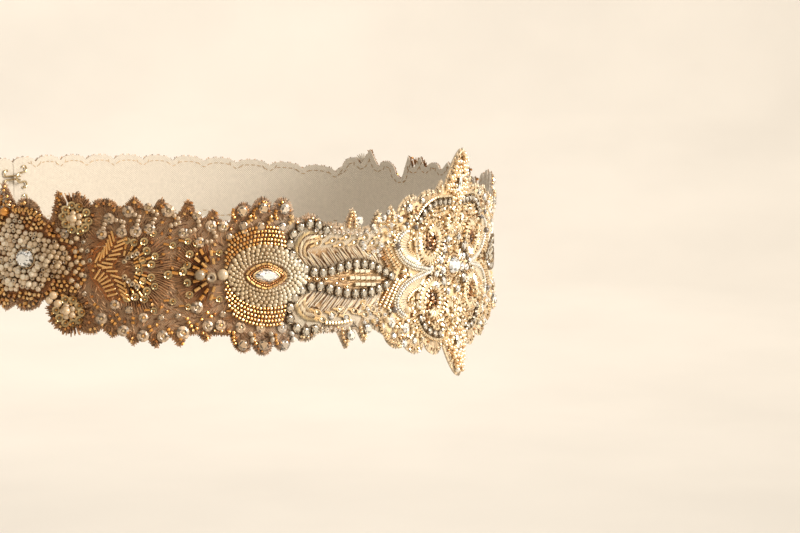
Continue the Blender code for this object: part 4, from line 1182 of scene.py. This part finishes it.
# lace arcs and knots on the pale net either side of the seam
for sign in (1, -1):
    for cs, cv, r0 in ((50.5, 13.4, 4.4), (45.0, 15.2, 4.2), (56.5, 14.0, 3.6), (47.6, 8.2, 3.4)):
        for k in range(3):
            arc_line = ellipse(cs, 0.3 + sign * (cv - (1.4 if sign < 0 else 0)), r0 - k * 1.05, (r0 - k * 1.05) * 0.8, 0.3,
                               n=40, start=0.2, end=pi + 0.6)
            s, v, a = spaced(arc_line, 0.75)
            ok = inside(s, v, 0.8) & free(s, v, 0.15)
            thread(s[ok], v[ok], a[ok] + 1.2, 1.25, 0.40, LACE if k != 1 else GOLD_PALE, 0.1, kind="thread" if k != 1 else "bullion")
p = filled([(40, 18), (58, 16), (58, 7.5), (48, 6.5), (44, 11)], 2.5, 0.35, clear=0.7, margin=1.2)
pearls(p[:, 0], p[:, 1], RNG.uniform(1.4, 1.9, len(p)), mixed([WHITE, GOLD_PALE, CLEAR], [3, 2, 2], len(p)))
p = filled([(40, -19), (60, -17), (60, -9.5), (49, -8.5), (44, -13)], 2.5, 0.35, clear=0.7, margin=1.2)
pearls(p[:, 0], p[:, 1], RNG.uniform(1.4, 1.9, len(p)), mixed([WHITE, GOLD_PALE, CLEAR], [3, 2, 2], len(p)))

# whatever is still bare at the centre is filled with small beads
field = [(0, 27), (20, 25), (33, 22), (43, 19), (45.6, 8), (36, 0), (45.6, -8), (45.6, -18), (36, -24), (18, -26), (0, -27)]
p = filled(field, 1.95, 0.25, clear=0.72, margin=1.2)
p = p[p[:, 0] > 0.7]
size = RNG.uniform(1.4, 1.9, len(p))
put("gold_beads", "seed", p[:, 0], p[:, 1], 0.66, RNG.uniform(0, 3.1, len(p)), (size, size, size),
    mixed([GOLD, GOLD_PALE, GOLD_CREAM, IVORY, BRONZE], [4, 4, 3, 2, 0.6], len(p)), claim=0.7)

# ================================================================ leafy sprigs of thread between the crystals
p = filled([(86, -20), (166, -20), (166, 21), (86, 21)], 4.6, 0.4, clear=1.5, margin=2.0)
for cs, cv, a0, b0 in ((136, 0.3, 12.5, 11.5), (121, 0.1, 10.5, 8.5), (96.8, 0.3, 16.5, 13.0), (152, 0.3, 8.0, 9.5)):
    p = p[((p[:, 0] - cs) / a0) ** 2 + ((p[:, 1] - cv) / b0) ** 2 > 1]
for k, (s0, v0) in enumerate(p):
    a0 = 1.1 * sin(s0 * 0.23) + (0.9 if v0 > 0 else -0.9) + 0.6 * cos(v0 * 0.45)
    L = 4.4 + 1.2 * sin(k * 2.3)
    leaf_stitches((s0 - cos(a0) * L / 2, v0 - sin(a0) * L / 2), (s0 + cos(a0) * L / 2, v0 + sin(a0) * L / 2), 1.3,
                  (THREAD_TAN, THREAD_ROSE, (0.85, 0.62, 0.44))[k % 3], count=6, width=0.42, lean=0.62)

# ================================================================ fine ground stitches on the bare net of the sides
poly = [(88, -24), (172, -24), (172, 25), (88, 25)]
p = filled(poly, 1.45, 0.45, clear=0.3, margin=1.0)
a = np.sin(p[:, 0] * 0.11) * 1.3 + p[:, 1] * 0.09 + RNG.uniform(-0.7, 0.7, len(p))
thread(p[:, 0], p[:, 1], a, RNG.uniform(1.2, 2.2, len(p)), 0.34,
       mixed([(1.08, 0.84, 0.64), (0.20, 0.10, 0.045), (0.62, 0.38, 0.23)], [3, 3, 3], len(p)), 0.02, True, 0.25, 0.36)
# scattered small copper beads, sparser
p = filled(poly, 3.5, 0.45, clear=1.1, margin=1.6)
p = p[RNG.random(len(p)) < 0.7]
put("gold_beads", "seed", p[:, 0], p[:, 1], 0.6, RNG.uniform(0, 3, len(p)), 1.25,
    mixed([COPPER, GOLD, (1.0, 0.70, 0.36)], [2, 3, 2], len(p)), claim=0.6)
# white and gold ground stitches on the pale net
poly = [(46, -22), (88, -22), (88, 21), (46, 20)]
p = filled(poly, 2.1, 0.45, clear=0.3, margin=1.0)
thread(p[:, 0], p[:, 1], RNG.uniform(0, 3.1, len(p)), RNG.uniform(1.0, 1.8, len(p)), 0.30, THREAD_IVORY, -0.05, True, 0.1, 0.22)

# ================================================================ the back: plain net, edged with beads, small sprigs
for side, sign in (("top", 1), ("bottom", -1)):
    line = np.stack([_ES, _EDGE[side]], -1)
    line = line[(_ES > 203.6) & (_ES < HALF - 3.0)]
    seeds(beside(line, -sign * 2.6), 1.5, GOLD, lift=0.1, every=(3, GOLD_PALE), pitch=1.72)
for k in range(11):
    c = 211.0 + 15.1 * k
    if c > HALF - 8:
        break
    up = 1 if k % 2 else -1
    rhinestone(c, 0.0, 3.2, cup=False, lift=0.1)
    for d in (-1, 1):
        leaf_stitches((c + d * 1.9, 0.3 * up), (c + d * 6.2, 3.6 * up * d), 1.7, (0.98, 0.82, 0.60), count=8, width=0.52)
    seeds(curve([(c - 5.0, -3.6 * up), (c - 2.4, -3.0 * up), (c, -4.4 * up), (c + 2.6, -6.4 * up)]), 1.3, GOLD, lift=0.05)
    pearls([c + 3.6, c - 6.4], [-7.6 * up, -3.9 * up], 1.9, IVORY)
    put("gold_beads", "seed", [c + 7.4, c + 7.4, c - 2.2, c + 1.4], [7.4 * up, -8.0 * up, 6.6 * up, 7.8 * up], 0.6, 0.4, 1.3,
        mixed([GOLD, COPPER], [2, 1], 4), claim=0.6)

# ================================================================ the hem inside: one row of running stitches by each edge
for side, sign in (("top", 1), ("bottom", -1)):
    line = beside(np.stack([_ES, _EDGE[side]], -1), -sign * 2.4)
    s, v, a = spaced(line, 2.7)
    ok = inside(s, v, 1.2) & (s > 0.8) & (s < HALF - 9.0)
    thread(s[ok], v[ok], a[ok], 1.8, 0.42, (0.50, 0.38, 0.25), NET_INNER - NET_OUTER - 0.05, height=0.4, vary=0.1)


# ================================================================ materials
def material(name, base, metallic=0.0, roughness=0.4, coat=0.0, ior=1.5, sheen=0.0, tinted=True, noise=None,
             bump=None, specular=0.5, transmission=0.0, rough_noise=None, coat_roughness=0.03, anisotropic=0.0,
             subsurface=0.0):
    """Procedural surface; noise = (scale, dark factor), bump = (scale, strength, distance)."""
    mat = bpy.data.materials.new(name)
    mat.use_nodes = True
    tree = mat.node_tree
    tree.nodes.clear()
    out = tree.nodes.new("ShaderNodeOutputMaterial")
    shader = tree.nodes.new("ShaderNodeBsdfPrincipled")
    tree.links.new(shader.outputs[0], out.inputs[0])
    shader.inputs["Metallic"].default_value = metallic
    shader.inputs["Roughness"].default_value = roughness
    shader.inputs["IOR"].default_value = ior
    shader.inputs["Coat Weight"].default_value = coat
    shader.inputs["Coat Roughness"].default_value = coat_roughness
    shader.inputs["Sheen Weight"].default_value = sheen
    shader.inputs["Sheen Roughness"].default_value = 0.4
    shader.inputs["Specular IOR Level"].default_value = specular
    shader.inputs["Transmission Weight"].default_value = transmission
    shader.inputs["Anisotropic"].default_value = anisotropic
    shader.inputs["Subsurface Weight"].default_value = subsurface
    shader.inputs["Subsurface Radius"].default_value = (0.0012, 0.0009, 0.0006)
    coord = tree.nodes.new("ShaderNodeTexCoord")
    if tinted:
        tint = tree.nodes.new("ShaderNodeAttribute")
        tint.attribute_name = "tint"
        mix = tree.nodes.new("ShaderNodeMix")
        mix.data_type, mix.blend_type = "RGBA", "MULTIPLY"
        mix.inputs["Factor"].default_value = 1.0
        mix.inputs["B"].default_value = (*base, 1.0)
        tree.links.new(tint.outputs["Color"], mix.inputs["A"])
        colour = mix.outputs["Result"]
    else:
        rgb = tree.nodes.new("ShaderNodeRGB")
        rgb.outputs[0].default_value = (*base, 1.0)
        colour = rgb.outputs[0]
    if noise:
        tex = tree.nodes.new("ShaderNodeTexNoise")
        tex.inputs["Scale"].default_value = noise[0]
        tex.inputs["Detail"].default_value = 3.0
        tree.links.new(coord.outputs["Object"], tex.inputs["Vector"])
        ramp = tree.nodes.new("ShaderNodeMapRange")
        ramp.inputs["From Min"].default_value, ramp.inputs["From Max"].default_value = 0.3, 0.7
        ramp.inputs["To Min"].default_value, ramp.inputs["To Max"].default_value = noise[1], 1.06
        tree.links.new(tex.outputs[0], ramp.inputs["Value"])
        shade = tree.nodes.new("ShaderNodeVectorMath")
        shade.operation = "SCALE"
        tree.links.new(colour, shade.inputs[0])
        tree.links.new(ramp.outputs[0], shade.inputs["Scale"])
        colour = shade.outputs[0]
        if rough_noise:
            rr = tree.nodes.new("ShaderNodeMapRange")
            rr.inputs["From Min"].default_value, rr.inputs["From Max"].default_value = 0.3, 0.7
            rr.inputs["To Min"].default_value, rr.inputs["To Max"].default_value = rough_noise
            tree.links.new(tex.outputs[0], rr.inputs["Value"])
            tree.links.new(rr.outputs[0], shader.inputs["Roughness"])
    tree.links.new(colour, shader.inputs["Base Color"])
    if bump:
        tex = tree.nodes.new("ShaderNodeTexNoise")
        tex.inputs["Scale"].default_value = bump[0]
        tex.inputs["Detail"].default_value = 2.0
        tree.links.new(coord.outputs["Object"], tex.inputs["Vector"])
        node = tree.nodes.new("ShaderNodeBump")
        node.inputs["Strength"].default_value = bump[1]
        node.inputs["Distance"].default_value = bump[2]
        tree.links.new(tex.outputs[0], node.inputs["Height"])
        tree.links.new(node.outputs[0], shader.inputs["Normal"])
    return mat


def net_material(name, thread_scale=1.0, tinted=True, base=(1, 1, 1)):
    """Fine net with a woven grain, drawn in the band's own millimetres (UV)."""
    mat = material(name, base, 0.0, 0.62, sheen=0.15, tinted=tinted)
    tree = mat.node_tree
    shader = next(n for n in tree.nodes if n.type == "BSDF_PRINCIPLED")
    colour = shader.inputs["Base Color"].links[0].from_socket
    uv = tree.nodes.new("ShaderNodeUVMap")
    uv.uv_map = "band_uv"
    heights = []
    for turn in (0.785, -0.785):
        place = tree.nodes.new("ShaderNodeMapping")
        place.inputs["Rotation"].default_value = (0, 0, turn)
        tree.links.new(uv.outputs[0], place.inputs["Vector"])
        wave = tree.nodes.new("ShaderNodeTexWave")
        wave.bands_direction, wave.wave_profile = "X", "SIN"
        wave.inputs["Scale"].default_value = 0.50 * thread_scale
        wave.inputs["Distortion"].default_value = 1.4
        wave.inputs["Detail"].default_value = 2.0
        wave.inputs["Detail Scale"].default_value = 2.5
        tree.links.new(place.outputs[0], wave.inputs["Vector"])
        heights.append(wave.outputs["Fac"])
    both = tree.nodes.new("ShaderNodeMath")
    both.operation = "MAXIMUM"
    tree.links.new(heights[0], both.inputs[0])
    tree.links.new(heights[1], both.inputs[1])
    fleck = tree.nodes.new("ShaderNodeTexNoise")
    fleck.inputs["Scale"].default_value = 0.55
    fleck.inputs["Detail"].default_value = 5.0
    tree.links.new(uv.outputs[0], fleck.inputs["Vector"])
    tone = tree.nodes.new("ShaderNodeMapRange")
    tone.inputs["To Min"].default_value, tone.inputs["To Max"].default_value = 0.74, 1.04
    tree.links.new(both.outputs[0], tone.inputs["Value"])
    tone2 = tree.nodes.new("ShaderNodeMapRange")
    tone2.inputs["From Min"].default_value, tone2.inputs["From Max"].default_value = 0.3, 0.7
    tone2.inputs["To Min"].default_value, tone2.inputs["To Max"].default_value = 0.93, 1.05
    tree.links.new(fleck.outputs[0], tone2.inputs["Value"])
    product = tree.nodes.new("ShaderNodeMath")
    product.operation = "MULTIPLY"
    tree.links.new(tone.outputs[0], product.inputs[0])
    tree.links.new(tone2.outputs[0], product.inputs[1])
    shade = tree.nodes.new("ShaderNodeVectorMath")
    shade.operation = "SCALE"
    tree.links.new(colour, shade.inputs[0])
    tree.links.new(product.outputs[0], shade.inputs["Scale"])
    tree.links.new(shade.outputs[0], shader.inputs["Base Color"])
    node = tree.nodes.new("ShaderNodeBump")
    node.inputs["Strength"].default_value = 0.6
    node.inputs["Distance"].default_value = 0.0003
    tree.links.new(both.outputs[0], node.inputs["Height"])
    tree.links.new(node.outputs[0], shader.inputs["Normal"])
    return mat


MATERIALS = {
    "gold_beads": material("gold_bead_glass", (1, 1, 1), 0.66, 0.25, coat=0.7, noise=(1900, 0.86), coat_roughness=0.08),
    "pearls": material("seed_pearl_lustre", (1, 1, 1), 0.0, 0.22, coat=0.7, noise=(1400, 0.90), specular=0.6,
                       coat_roughness=0.12, subsurface=0.12),
    "crystals": material("crystal_facets", (1, 1, 1), 0.42, 0.08, coat=0.8, noise=(2600, 0.72), coat_roughness=0.01,
                         ior=1.7),
    "glass": material("holed_glass_disc", (1, 1, 1), 0.06, 0.27, coat=0.5, noise=(2200, 0.72), coat_roughness=0.12, ior=1.55),
    "settings": material("antique_cup_metal", (0.33, 0.25, 0.165), 0.95, 0.34, noise=(1500, 0.55), rough_noise=(0.25, 0.48)),
    "thread": material("metal_thread", (1, 1, 1), 0.30, 0.42, noise=(3600, 0.62), bump=(5200, 0.5, 0.0002), sheen=0.2),
    "bullion": material("bullion_wire", (1, 1, 1), 0.88, 0.24, noise=(4200, 0.55), bump=(6000, 0.4, 0.0002)),
    "sequins": material("sequin_foil", (1, 1, 1), 0.90, 0.13, noise=(900, 0.86), coat=0.6),
}
NET = net_material("embroidered_net_cloth")
HOOK = material("hook_wire_metal", (0.62, 0.48, 0.28), 1.0, 0.28, tinted=False, noise=(1200, 0.75), rough_noise=(0.2, 0.4))

# ================================================================ meshes
COLLECTION = bpy.data.collections.new("sash_looks")
bpy.context.scene.collection.children.link(COLLECTION)


def new_mesh(name, verts, loops, sizes, tints, mat, smooth_angle=None, uv=None):
    mesh = bpy.data.meshes.new(name)
    mesh.vertices.add(len(verts))
    mesh.vertices.foreach_set("co", np.ascontiguousarray(verts, np.float32).ravel())
    mesh.loops.add(len(loops))
    mesh.loops.foreach_set("vertex_index", np.ascontiguousarray(loops, np.int32))
    mesh.polygons.add(len(sizes))
    starts = np.r_[0, np.cumsum(sizes)[:-1]].astype(np.int32)
    mesh.polygons.foreach_set("loop_start", starts)
    mesh.update(calc_edges=True)
    attribute = mesh.color_attributes.new("tint", "FLOAT_COLOR", "CORNER")
    rgba = np.ones((len(loops), 4), np.float32)
    rgba[:, :3] = np.clip(tints, 0, 4)
    attribute.data.foreach_set("color", rgba.ravel())
    if uv is not None:
        layer = mesh.uv_layers.new(name="band_uv")
        layer.data.foreach_set("uv", np.ascontiguousarray(uv, np.float32).ravel())
    mesh.materials.append(mat)
    mesh.polygons.foreach_set("use_smooth", np.full(len(sizes), smooth_angle is not None))
    if smooth_angle is not None:
        mesh.set_sharp_from_angle(angle=radians(smooth_angle))
    mesh.validate(clean_customdata=False)
    obj = bpy.data.objects.new(name, mesh)
    COLLECTION.objects.link(obj)
    return obj


def bag_arrays(entries):
    """World vertices, loops, face sizes and colours of every copy in the entries."""
    V, L, Z, C = [], [], [], []
    offset = 0
    for shape, r in entries:
        n = len(r["s"])
        if n == 0:
            continue
        p, along, up, outward = surface(r["s"], r["v"], r["lift"] + NET_OUTER)
        c, s_ = np.cos(r["ang"])[:, None], np.sin(r["ang"])[:, None]
        ex = along * c + up * s_
        ey = up * c - along * s_
        ez = outward
        # lean the copy about its own two axes
        ta, tb = r["ta"][:, None], r["tb"][:, None]
        ez2 = unit(ez + ex * np.sin(ta) + ey * np.sin(tb))
        ex2 = unit(ex - ez2 * (ex * ez2).sum(-1, keepdims=True))
        ey2 = np.cross(ex2, ez2)
        ey2 *= np.sign((ey2 * ey).sum(-1, keepdims=True))
        q = shape.verts[None, :, :] * r["size"][:, None, :] * 0.001
        w = p[:, None, :] + q[..., 0:1] * ex2[:, None, :] + q[..., 1:2] * ey2[:, None, :] + q[..., 2:3] * ez2[:, None, :]
        m = len(shape.verts)
        V.append(w.reshape(-1, 3))
        L.append((shape.loops[None, :] + (offset + np.arange(n) * m)[:, None]).ravel())
        Z.append(np.tile(shape.sizes, n))
        # each copy's colour is its tint times the shape's painted light and shade, face by face
        C.append((r["tint"][:, None, :] * shape.shade[None, :, None]).reshape(-1, 3))
        offset += n * m
    return np.vstack(V), np.concatenate(L), np.concatenate(Z), np.vstack(C)


SMOOTH = {"gold_beads": 38, "pearls": 50, "crystals": None, "glass": None, "settings": 30, "thread": 80, "bullion": 80, "sequins": 32}
ZONES = (("centre", 0.0, 46.15), ("side", 46.15, 171.15), ("flower", 171.15, 203.15), ("back", 203.15, 400.0))
BEADWORK = {}
report_rows = []
for kind, entries in KINDS.items():
    for zone, low, high in ZONES:
        for hand in ("right", "left"):
            chosen = []
            for shape, r in entries:
                a = np.abs(r["s"])
                k = (a >= low) & (a < high) & ((r["s"] >= 0) if hand == "right" else (r["s"] < 0))
                if k.any():
                    chosen.append((shape, {key: value[k] for key, value in r.items()}))
            if not chosen:
                continue
            V, L, Z, C = bag_arrays(chosen)
            obj = new_mesh(f"{zone}_{kind}_{hand}", V, L, Z, C, MATERIALS[kind], SMOOTH[kind])
            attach(obj, "root")
            BEADWORK.setdefault((zone, hand), []).append(obj)
            report_rows.append((obj.name, int((Z - 2).sum())))


# ================================================================ the net itself, one shell to each panel
def ground_tone(s, v):
    """Colour painted into the net: pale at the front, taupe at the sides, rust under the metal beads."""
    left = s < 0
    s = np.abs(s)
    ivory, taupe, rust = np.array((0.56, 0.47, 0.345)), np.array((0.335, 0.192, 0.096)), np.array((0.29, 0.12, 0.036))
    gold, brown = np.array((0.88, 0.64, 0.35)), np.array((0.34, 0.20, 0.085))

    def blend_in(tone, amount, colour):
        a = np.clip(amount, 0, 1)[..., None]
        return tone * (1 - a) + colour * a

    tone = blend_in(np.broadcast_to(ivory, s.shape + (3,)), (s - 84) / 12, taupe)
    tone = blend_in(tone, (49 - s) / 6, gold)
    tone = blend_in(tone, (1.2 - np.hypot((s - 180) / 19, (v + 0.2) / 15.5)) * 4, rust)
    tone = blend_in(tone, (1.25 - np.hypot((s - 150.3) / 7, (v - 0.3) / 10.5)) * 4, rust)
    tone = blend_in(tone, (1.2 - np.hypot((s - 96.8) / 13.5, (v - 0.3) / 9.0)) * 5, np.array((0.52, 0.40, 0.25)))
    tone = blend_in(tone, (1.0 - np.hypot((s - 96.8) / 8.6, (v - 0.3) / 5.0)) * 5, rust)
    # inside the almond, and the worked bands beside its chains
    tone = blend_in(tone, (1.15 - np.hypot((s - 60) / 21, (v + 1.2) / 5.2)) * 4, brown)
    tone = blend_in(tone, (1.0 - np.abs(np.abs(v + 0.9) - 8.6) / 3.2) * (s > 44) * (s < 86) * 1.6, brown * 1.25)
    return tone


def net_shell(name, panel, low, high, node, flat, area):
    step = 0.9 if panel == "back" else 0.62
    columns = np.unique(np.round(np.concatenate([np.arange(low, high, step), [high]]), 4))
    if len(columns) > 2 and columns[-1] - columns[-2] < 0.2:
        columns = np.delete(columns, -2)
    rows = 12 if panel == "back" else 20
    top, bottom = edge(panel, columns, "top"), edge(panel, columns, "bottom")
    f = np.linspace(0, 1, rows)
    S = np.repeat(columns[:, None], rows, 1)
    Vv = bottom[:, None] + (top - bottom)[:, None] * f[None, :]
    nc = len(columns)
    outer = surface(S, Vv, NET_OUTER)[0].reshape(-1, 3)
    inner = surface(S, Vv, NET_INNER)[0].reshape(-1, 3)
    verts = np.vstack([outer, inner])
    base = nc * rows
    i, j = np.meshgrid(np.arange(nc - 1), np.arange(rows - 1), indexing="ij")
    a, b, c, d = i * rows + j, (i + 1) * rows + j, (i + 1) * rows + j + 1, i * rows + j + 1
    # along x up points inwards, so the outer face runs a, d, c, b
    faces = [np.stack([a, d, c, b], -1).reshape(-1, 4), np.stack([a, b, c, d], -1).reshape(-1, 4) + base]
    k = np.arange(nc - 1)
    for row, flip in ((0, False), (rows - 1, True)):
        p, q = k * rows + row, (k + 1) * rows + row
        quad = np.stack([p, q, q + base, p + base], -1)
        faces.append(quad[:, ::-1] if flip else quad)
    k = np.arange(rows - 1)
    for col, flip in ((0, True), (nc - 1, False)):
        p, q = col * rows + k, col * rows + k + 1
        quad = np.stack([p, q, q + base, p + base], -1)
        faces.append(quad[:, ::-1] if flip else quad)
    faces = np.vstack(faces)
    loops = faces.ravel()
    ss, vv = np.tile(S.ravel(), 2), np.tile(Vv.ravel(), 2)
    tone = ground_tone(ss, vv)
    tone[base:] = np.array((0.60, 0.53, 0.435))         # the plain lining inside
    uv = np.stack([ss, vv], -1)
    obj = new_mesh(name, verts, loops, np.full(len(faces), 4), tone[loops], NET, 40, uv[loops])
    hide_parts(node)
    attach(obj, "root")
    return obj


GAP, CLOSE = 0.15, 0.012      # the opening at the centre back, and the fine line where panels are sewn
SHEETS = []
centre = net_shell("centre_net", "centre", -(CENTRE_SEAM - CLOSE), CENTRE_SEAM - CLOSE, "centre_panel", None, None)
SHEETS.append((centre, "centre", (0.0920, 0.0855), BEADWORK.get(("centre", "right"), []) + BEADWORK.get(("centre", "left"), [])))
for hand, sign in (("right", 1), ("left", -1)):
    for panel, low, high, flat in (("side", CENTRE_SEAM + CLOSE, FLOWER_SEAM - CLOSE, (0.125, 0.0555)),
                                   ("flower", FLOWER_SEAM + CLOSE, BACK_SEAM - CLOSE, (0.032, 0.0445)),
                                   ("back", BACK_SEAM + CLOSE, HALF - GAP, (0.1665, 0.0285))):
        ends = (low, high) if sign > 0 else (-high, -low)
        shell = net_shell(f"{panel}_net_{hand}", panel, ends[0], ends[1], f"{panel}_panel_{hand}", None, None)
        SHEETS.append((shell, panel, flat, BEADWORK.get((panel, hand), [])))

FLAT_AREAS = {}
for shell, panel, flat, beads in SHEETS:
    low, high = PANELS[panel]
    s = np.linspace(low, high, 4001)
    tall = edge(panel, s, "top") - edge(panel, s, "bottom")
    area = float(((tall[1:] + tall[:-1]) / 2 * np.diff(s)).sum()) * (2 if panel == "centre" else 1) * 1e-6
    FLAT_AREAS[shell.name] = area

# ================================================================ the set stones
CUT_STONES = (("centre_stone", 0.0, 0.0, 8.6, 6.6, 3.0, "oval"), ("eye_stone_right", 96.8, 0.4, 9.4, 4.6, 2.6, "marquise"),
              ("eye_stone_left", -96.8, 0.4, 9.4, 4.6, 2.6, "marquise"), ("flower_stone_right", 179.6, -0.2, 7.0, 6.6, 3.0, "oval"),
              ("flower_stone_left", -179.6, -0.2, 7.0, 6.6, 3.0, "oval"))


def fine_stone(form, length, height, depth, seed):
    n = 20 if form == "oval" else 22
    outline = (lambda a: (cos(a), sin(a))) if form == "oval" else marquise_outline
    gem = cut_stone(n, outline, seed=seed, table=0.25, mid=0.385)
    rim = [(0.50, 0.0), (0.545, 0.10), (0.55, 0.20), (0.50, 0.25), (0.47, 0.18), (0.46, 0.0)]
    verts, faces = [], []
    m = 44
    for r, h in rim:
        for k in range(m):
            x, y = outline(2 * pi * k / m)
            verts.append((r * x, r * y, h))
    for j in range(len(rim)):
        for k in range(m):
            a, b = j * m + k, j * m + (k + 1) % m
            c, d = ((j + 1) % len(rim)) * m + (k + 1) % m, ((j + 1) % len(rim)) * m + k
            faces.append([a, b, c, d])
    bezel = Shape(verts, faces)
    claw_parts = []
    for k in range(8 if form == "oval" else 6):
        a = 2 * pi * (k + (0.5 if form == "oval" else 0.0)) / (8 if form == "oval" else 6)
        x, y = outline(a)
        claw_parts.append(moved(box(0.10, 0.055, 0.34), x=0.485 * x, y=0.485 * y, z=0.0, turn=np.arctan2(y, x)))
    return gem, joined(bezel, *claw_parts)


for number, (name, s0, v0, length, height, depth, form) in enumerate(CUT_STONES):
    gem, bezel = fine_stone(form, length, height, depth, 31 + number)
    one = lambda value: np.array([float(value)])
    row = dict(s=one(s0), v=one(v0), lift=one(0.55), ang=one(0.0 if s0 >= 0 else pi), ta=one(0), tb=one(0),
               size=np.array([[length * 0.97, height * 0.97, depth * 1.9]]), tint=np.array([[0.93, 0.91, 0.87]]))
    V, L, Z, C = bag_arrays([(gem, row)])
    gem_obj = new_mesh(f"{name}_cut", V, L, Z, C, MATERIALS["crystals"], None)
    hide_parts(name)
    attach(gem_obj, "root")
    row = dict(row, tint=np.array([[3.0, 2.6, 1.9]] if form == "marquise" else [[2.0, 1.9, 1.7]]),
               size=np.array([[length * 1.02, height * 1.02, depth * 1.5]]), lift=one(0.35))
    V, L, Z, C = bag_arrays([(bezel, row)])
    bezel_obj = new_mesh(f"{name}_setting", V, L, Z, C, MATERIALS["settings"], 30)
    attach(bezel_obj, "root")

# the hooks and eyes keep their CAD form, with a worn metal finish
for level in ("upper", "lower"):
    for kind in ("hook", "eye"):
        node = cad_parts[f"{kind}_{level}"]
        node.data.materials.clear()
        node.data.materials.append(HOOK)

# ================================================================ floor, light and backdrop
low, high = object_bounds()


def stage_mesh(name, verts, faces, mat, tints):
    mesh = bpy.data.meshes.new(name)
    mesh.from_pydata(verts, [], faces)
    attribute = mesh.color_attributes.new("tint", "FLOAT_COLOR", "POINT")
    attribute.data.foreach_set("color", np.stack([tints, tints, tints, np.ones(len(tints))], -1).astype(np.float32).ravel())
    mesh.materials.append(mat)
    mesh.polygons.foreach_set("use_smooth", np.ones(len(faces), bool))
    mesh.update()
    obj = bpy.data.objects.new(name, mesh)
    bpy.context.scene.collection.objects.link(obj)
    return obj


R, U, K = VIEW_RIGHT, VIEW_UP, VIEW_BACK
WINDOW = R * 1.85 + K * 0.45 + U * 0.75
PALE = material("pale_floor_paint", (0.90, 0.855, 0.785), 0.0, 0.75, noise=(2.0, 0.985))
n = 48
verts, faces = [(0.0, 0.0, -0.60)], []
radii = [(0.4, -0.60), (0.8, -0.60), (1.2, -0.60), (1.6, -0.60), (2.0, -0.60), (2.5, -0.60), (3.2, -0.60), (4.4, -0.50), (5.4, -0.12), (6.0, 0.6), (6.2, 1.6), (6.2, 4.2)]
for r, z in radii:
    for k in range(n):
        verts.append((r * cos(2 * pi * k / n), r * sin(2 * pi * k / n), z))
for k in range(n):
    faces.append((0, 1 + k, 1 + (k + 1) % n))
for j in range(len(radii) - 1):
    for k in range(n):
        a, b = 1 + j * n + k, 1 + j * n + (k + 1) % n
        faces.append((a, a + n, b + n, b))
# the floor is a shade deeper under the window light, which would bleach it otherwise
away = np.hypot(*(np.array(verts)[:, :2] - np.array([WINDOW.x, WINDOW.y])).T)
stage_mesh("pale_floor", verts, faces, PALE, 1 - 0.55 * np.exp(-(away / 1.9) ** 2))

world = bpy.data.worlds.new("studio")
bpy.context.scene.world = world
world.use_nodes = True
background = next(node for node in world.node_tree.nodes if node.type == "BACKGROUND")
background.inputs[0].default_value = (1.0, 0.955, 0.89, 1.0)
background.inputs[1].default_value = 0.64
bpy.context.scene.view_settings.view_transform = "Standard"
bpy.context.scene.view_settings.look = "None"
bpy.context.scene.view_settings.exposure = 0.0


def lamp(name, place, target, size, power, colour):
    data = bpy.data.lights.new(name, "AREA")
    data.shape, data.size, data.size_y = "RECTANGLE", size[0], size[1]
    data.energy, data.color = power, colour
    obj = bpy.data.objects.new(name, data)
    place, target = Vector(place), Vector(target)
    obj.location = place
    obj.rotation_mode = "QUATERNION"
    obj.rotation_quaternion = (target - place).to_track_quat("-Z", "Y")
    bpy.context.scene.collection.objects.link(obj)


lamp("window", WINDOW, (0, 0, 0), (1.0, 1.2), 64, (1.0, 0.95, 0.88))
lamp("sparkle", R * 0.5 + K * 1.6 + U * 1.5, (0, 0, 0), (0.3, 0.6), 7, (1.0, 0.97, 0.92))
lamp("backdrop", K * -2.6 + U * 2.4, K * -6.0 + U * 0.2, (2.6, 1.2), 44, (1.0, 0.93, 0.86))

print("triangles", sum(t for _, t in report_rows), "largest", sorted(report_rows, key=lambda x: -x[1])[:8])
print("flat areas", {k: round(v * 1e4, 2) for k, v in FLAT_AREAS.items()})
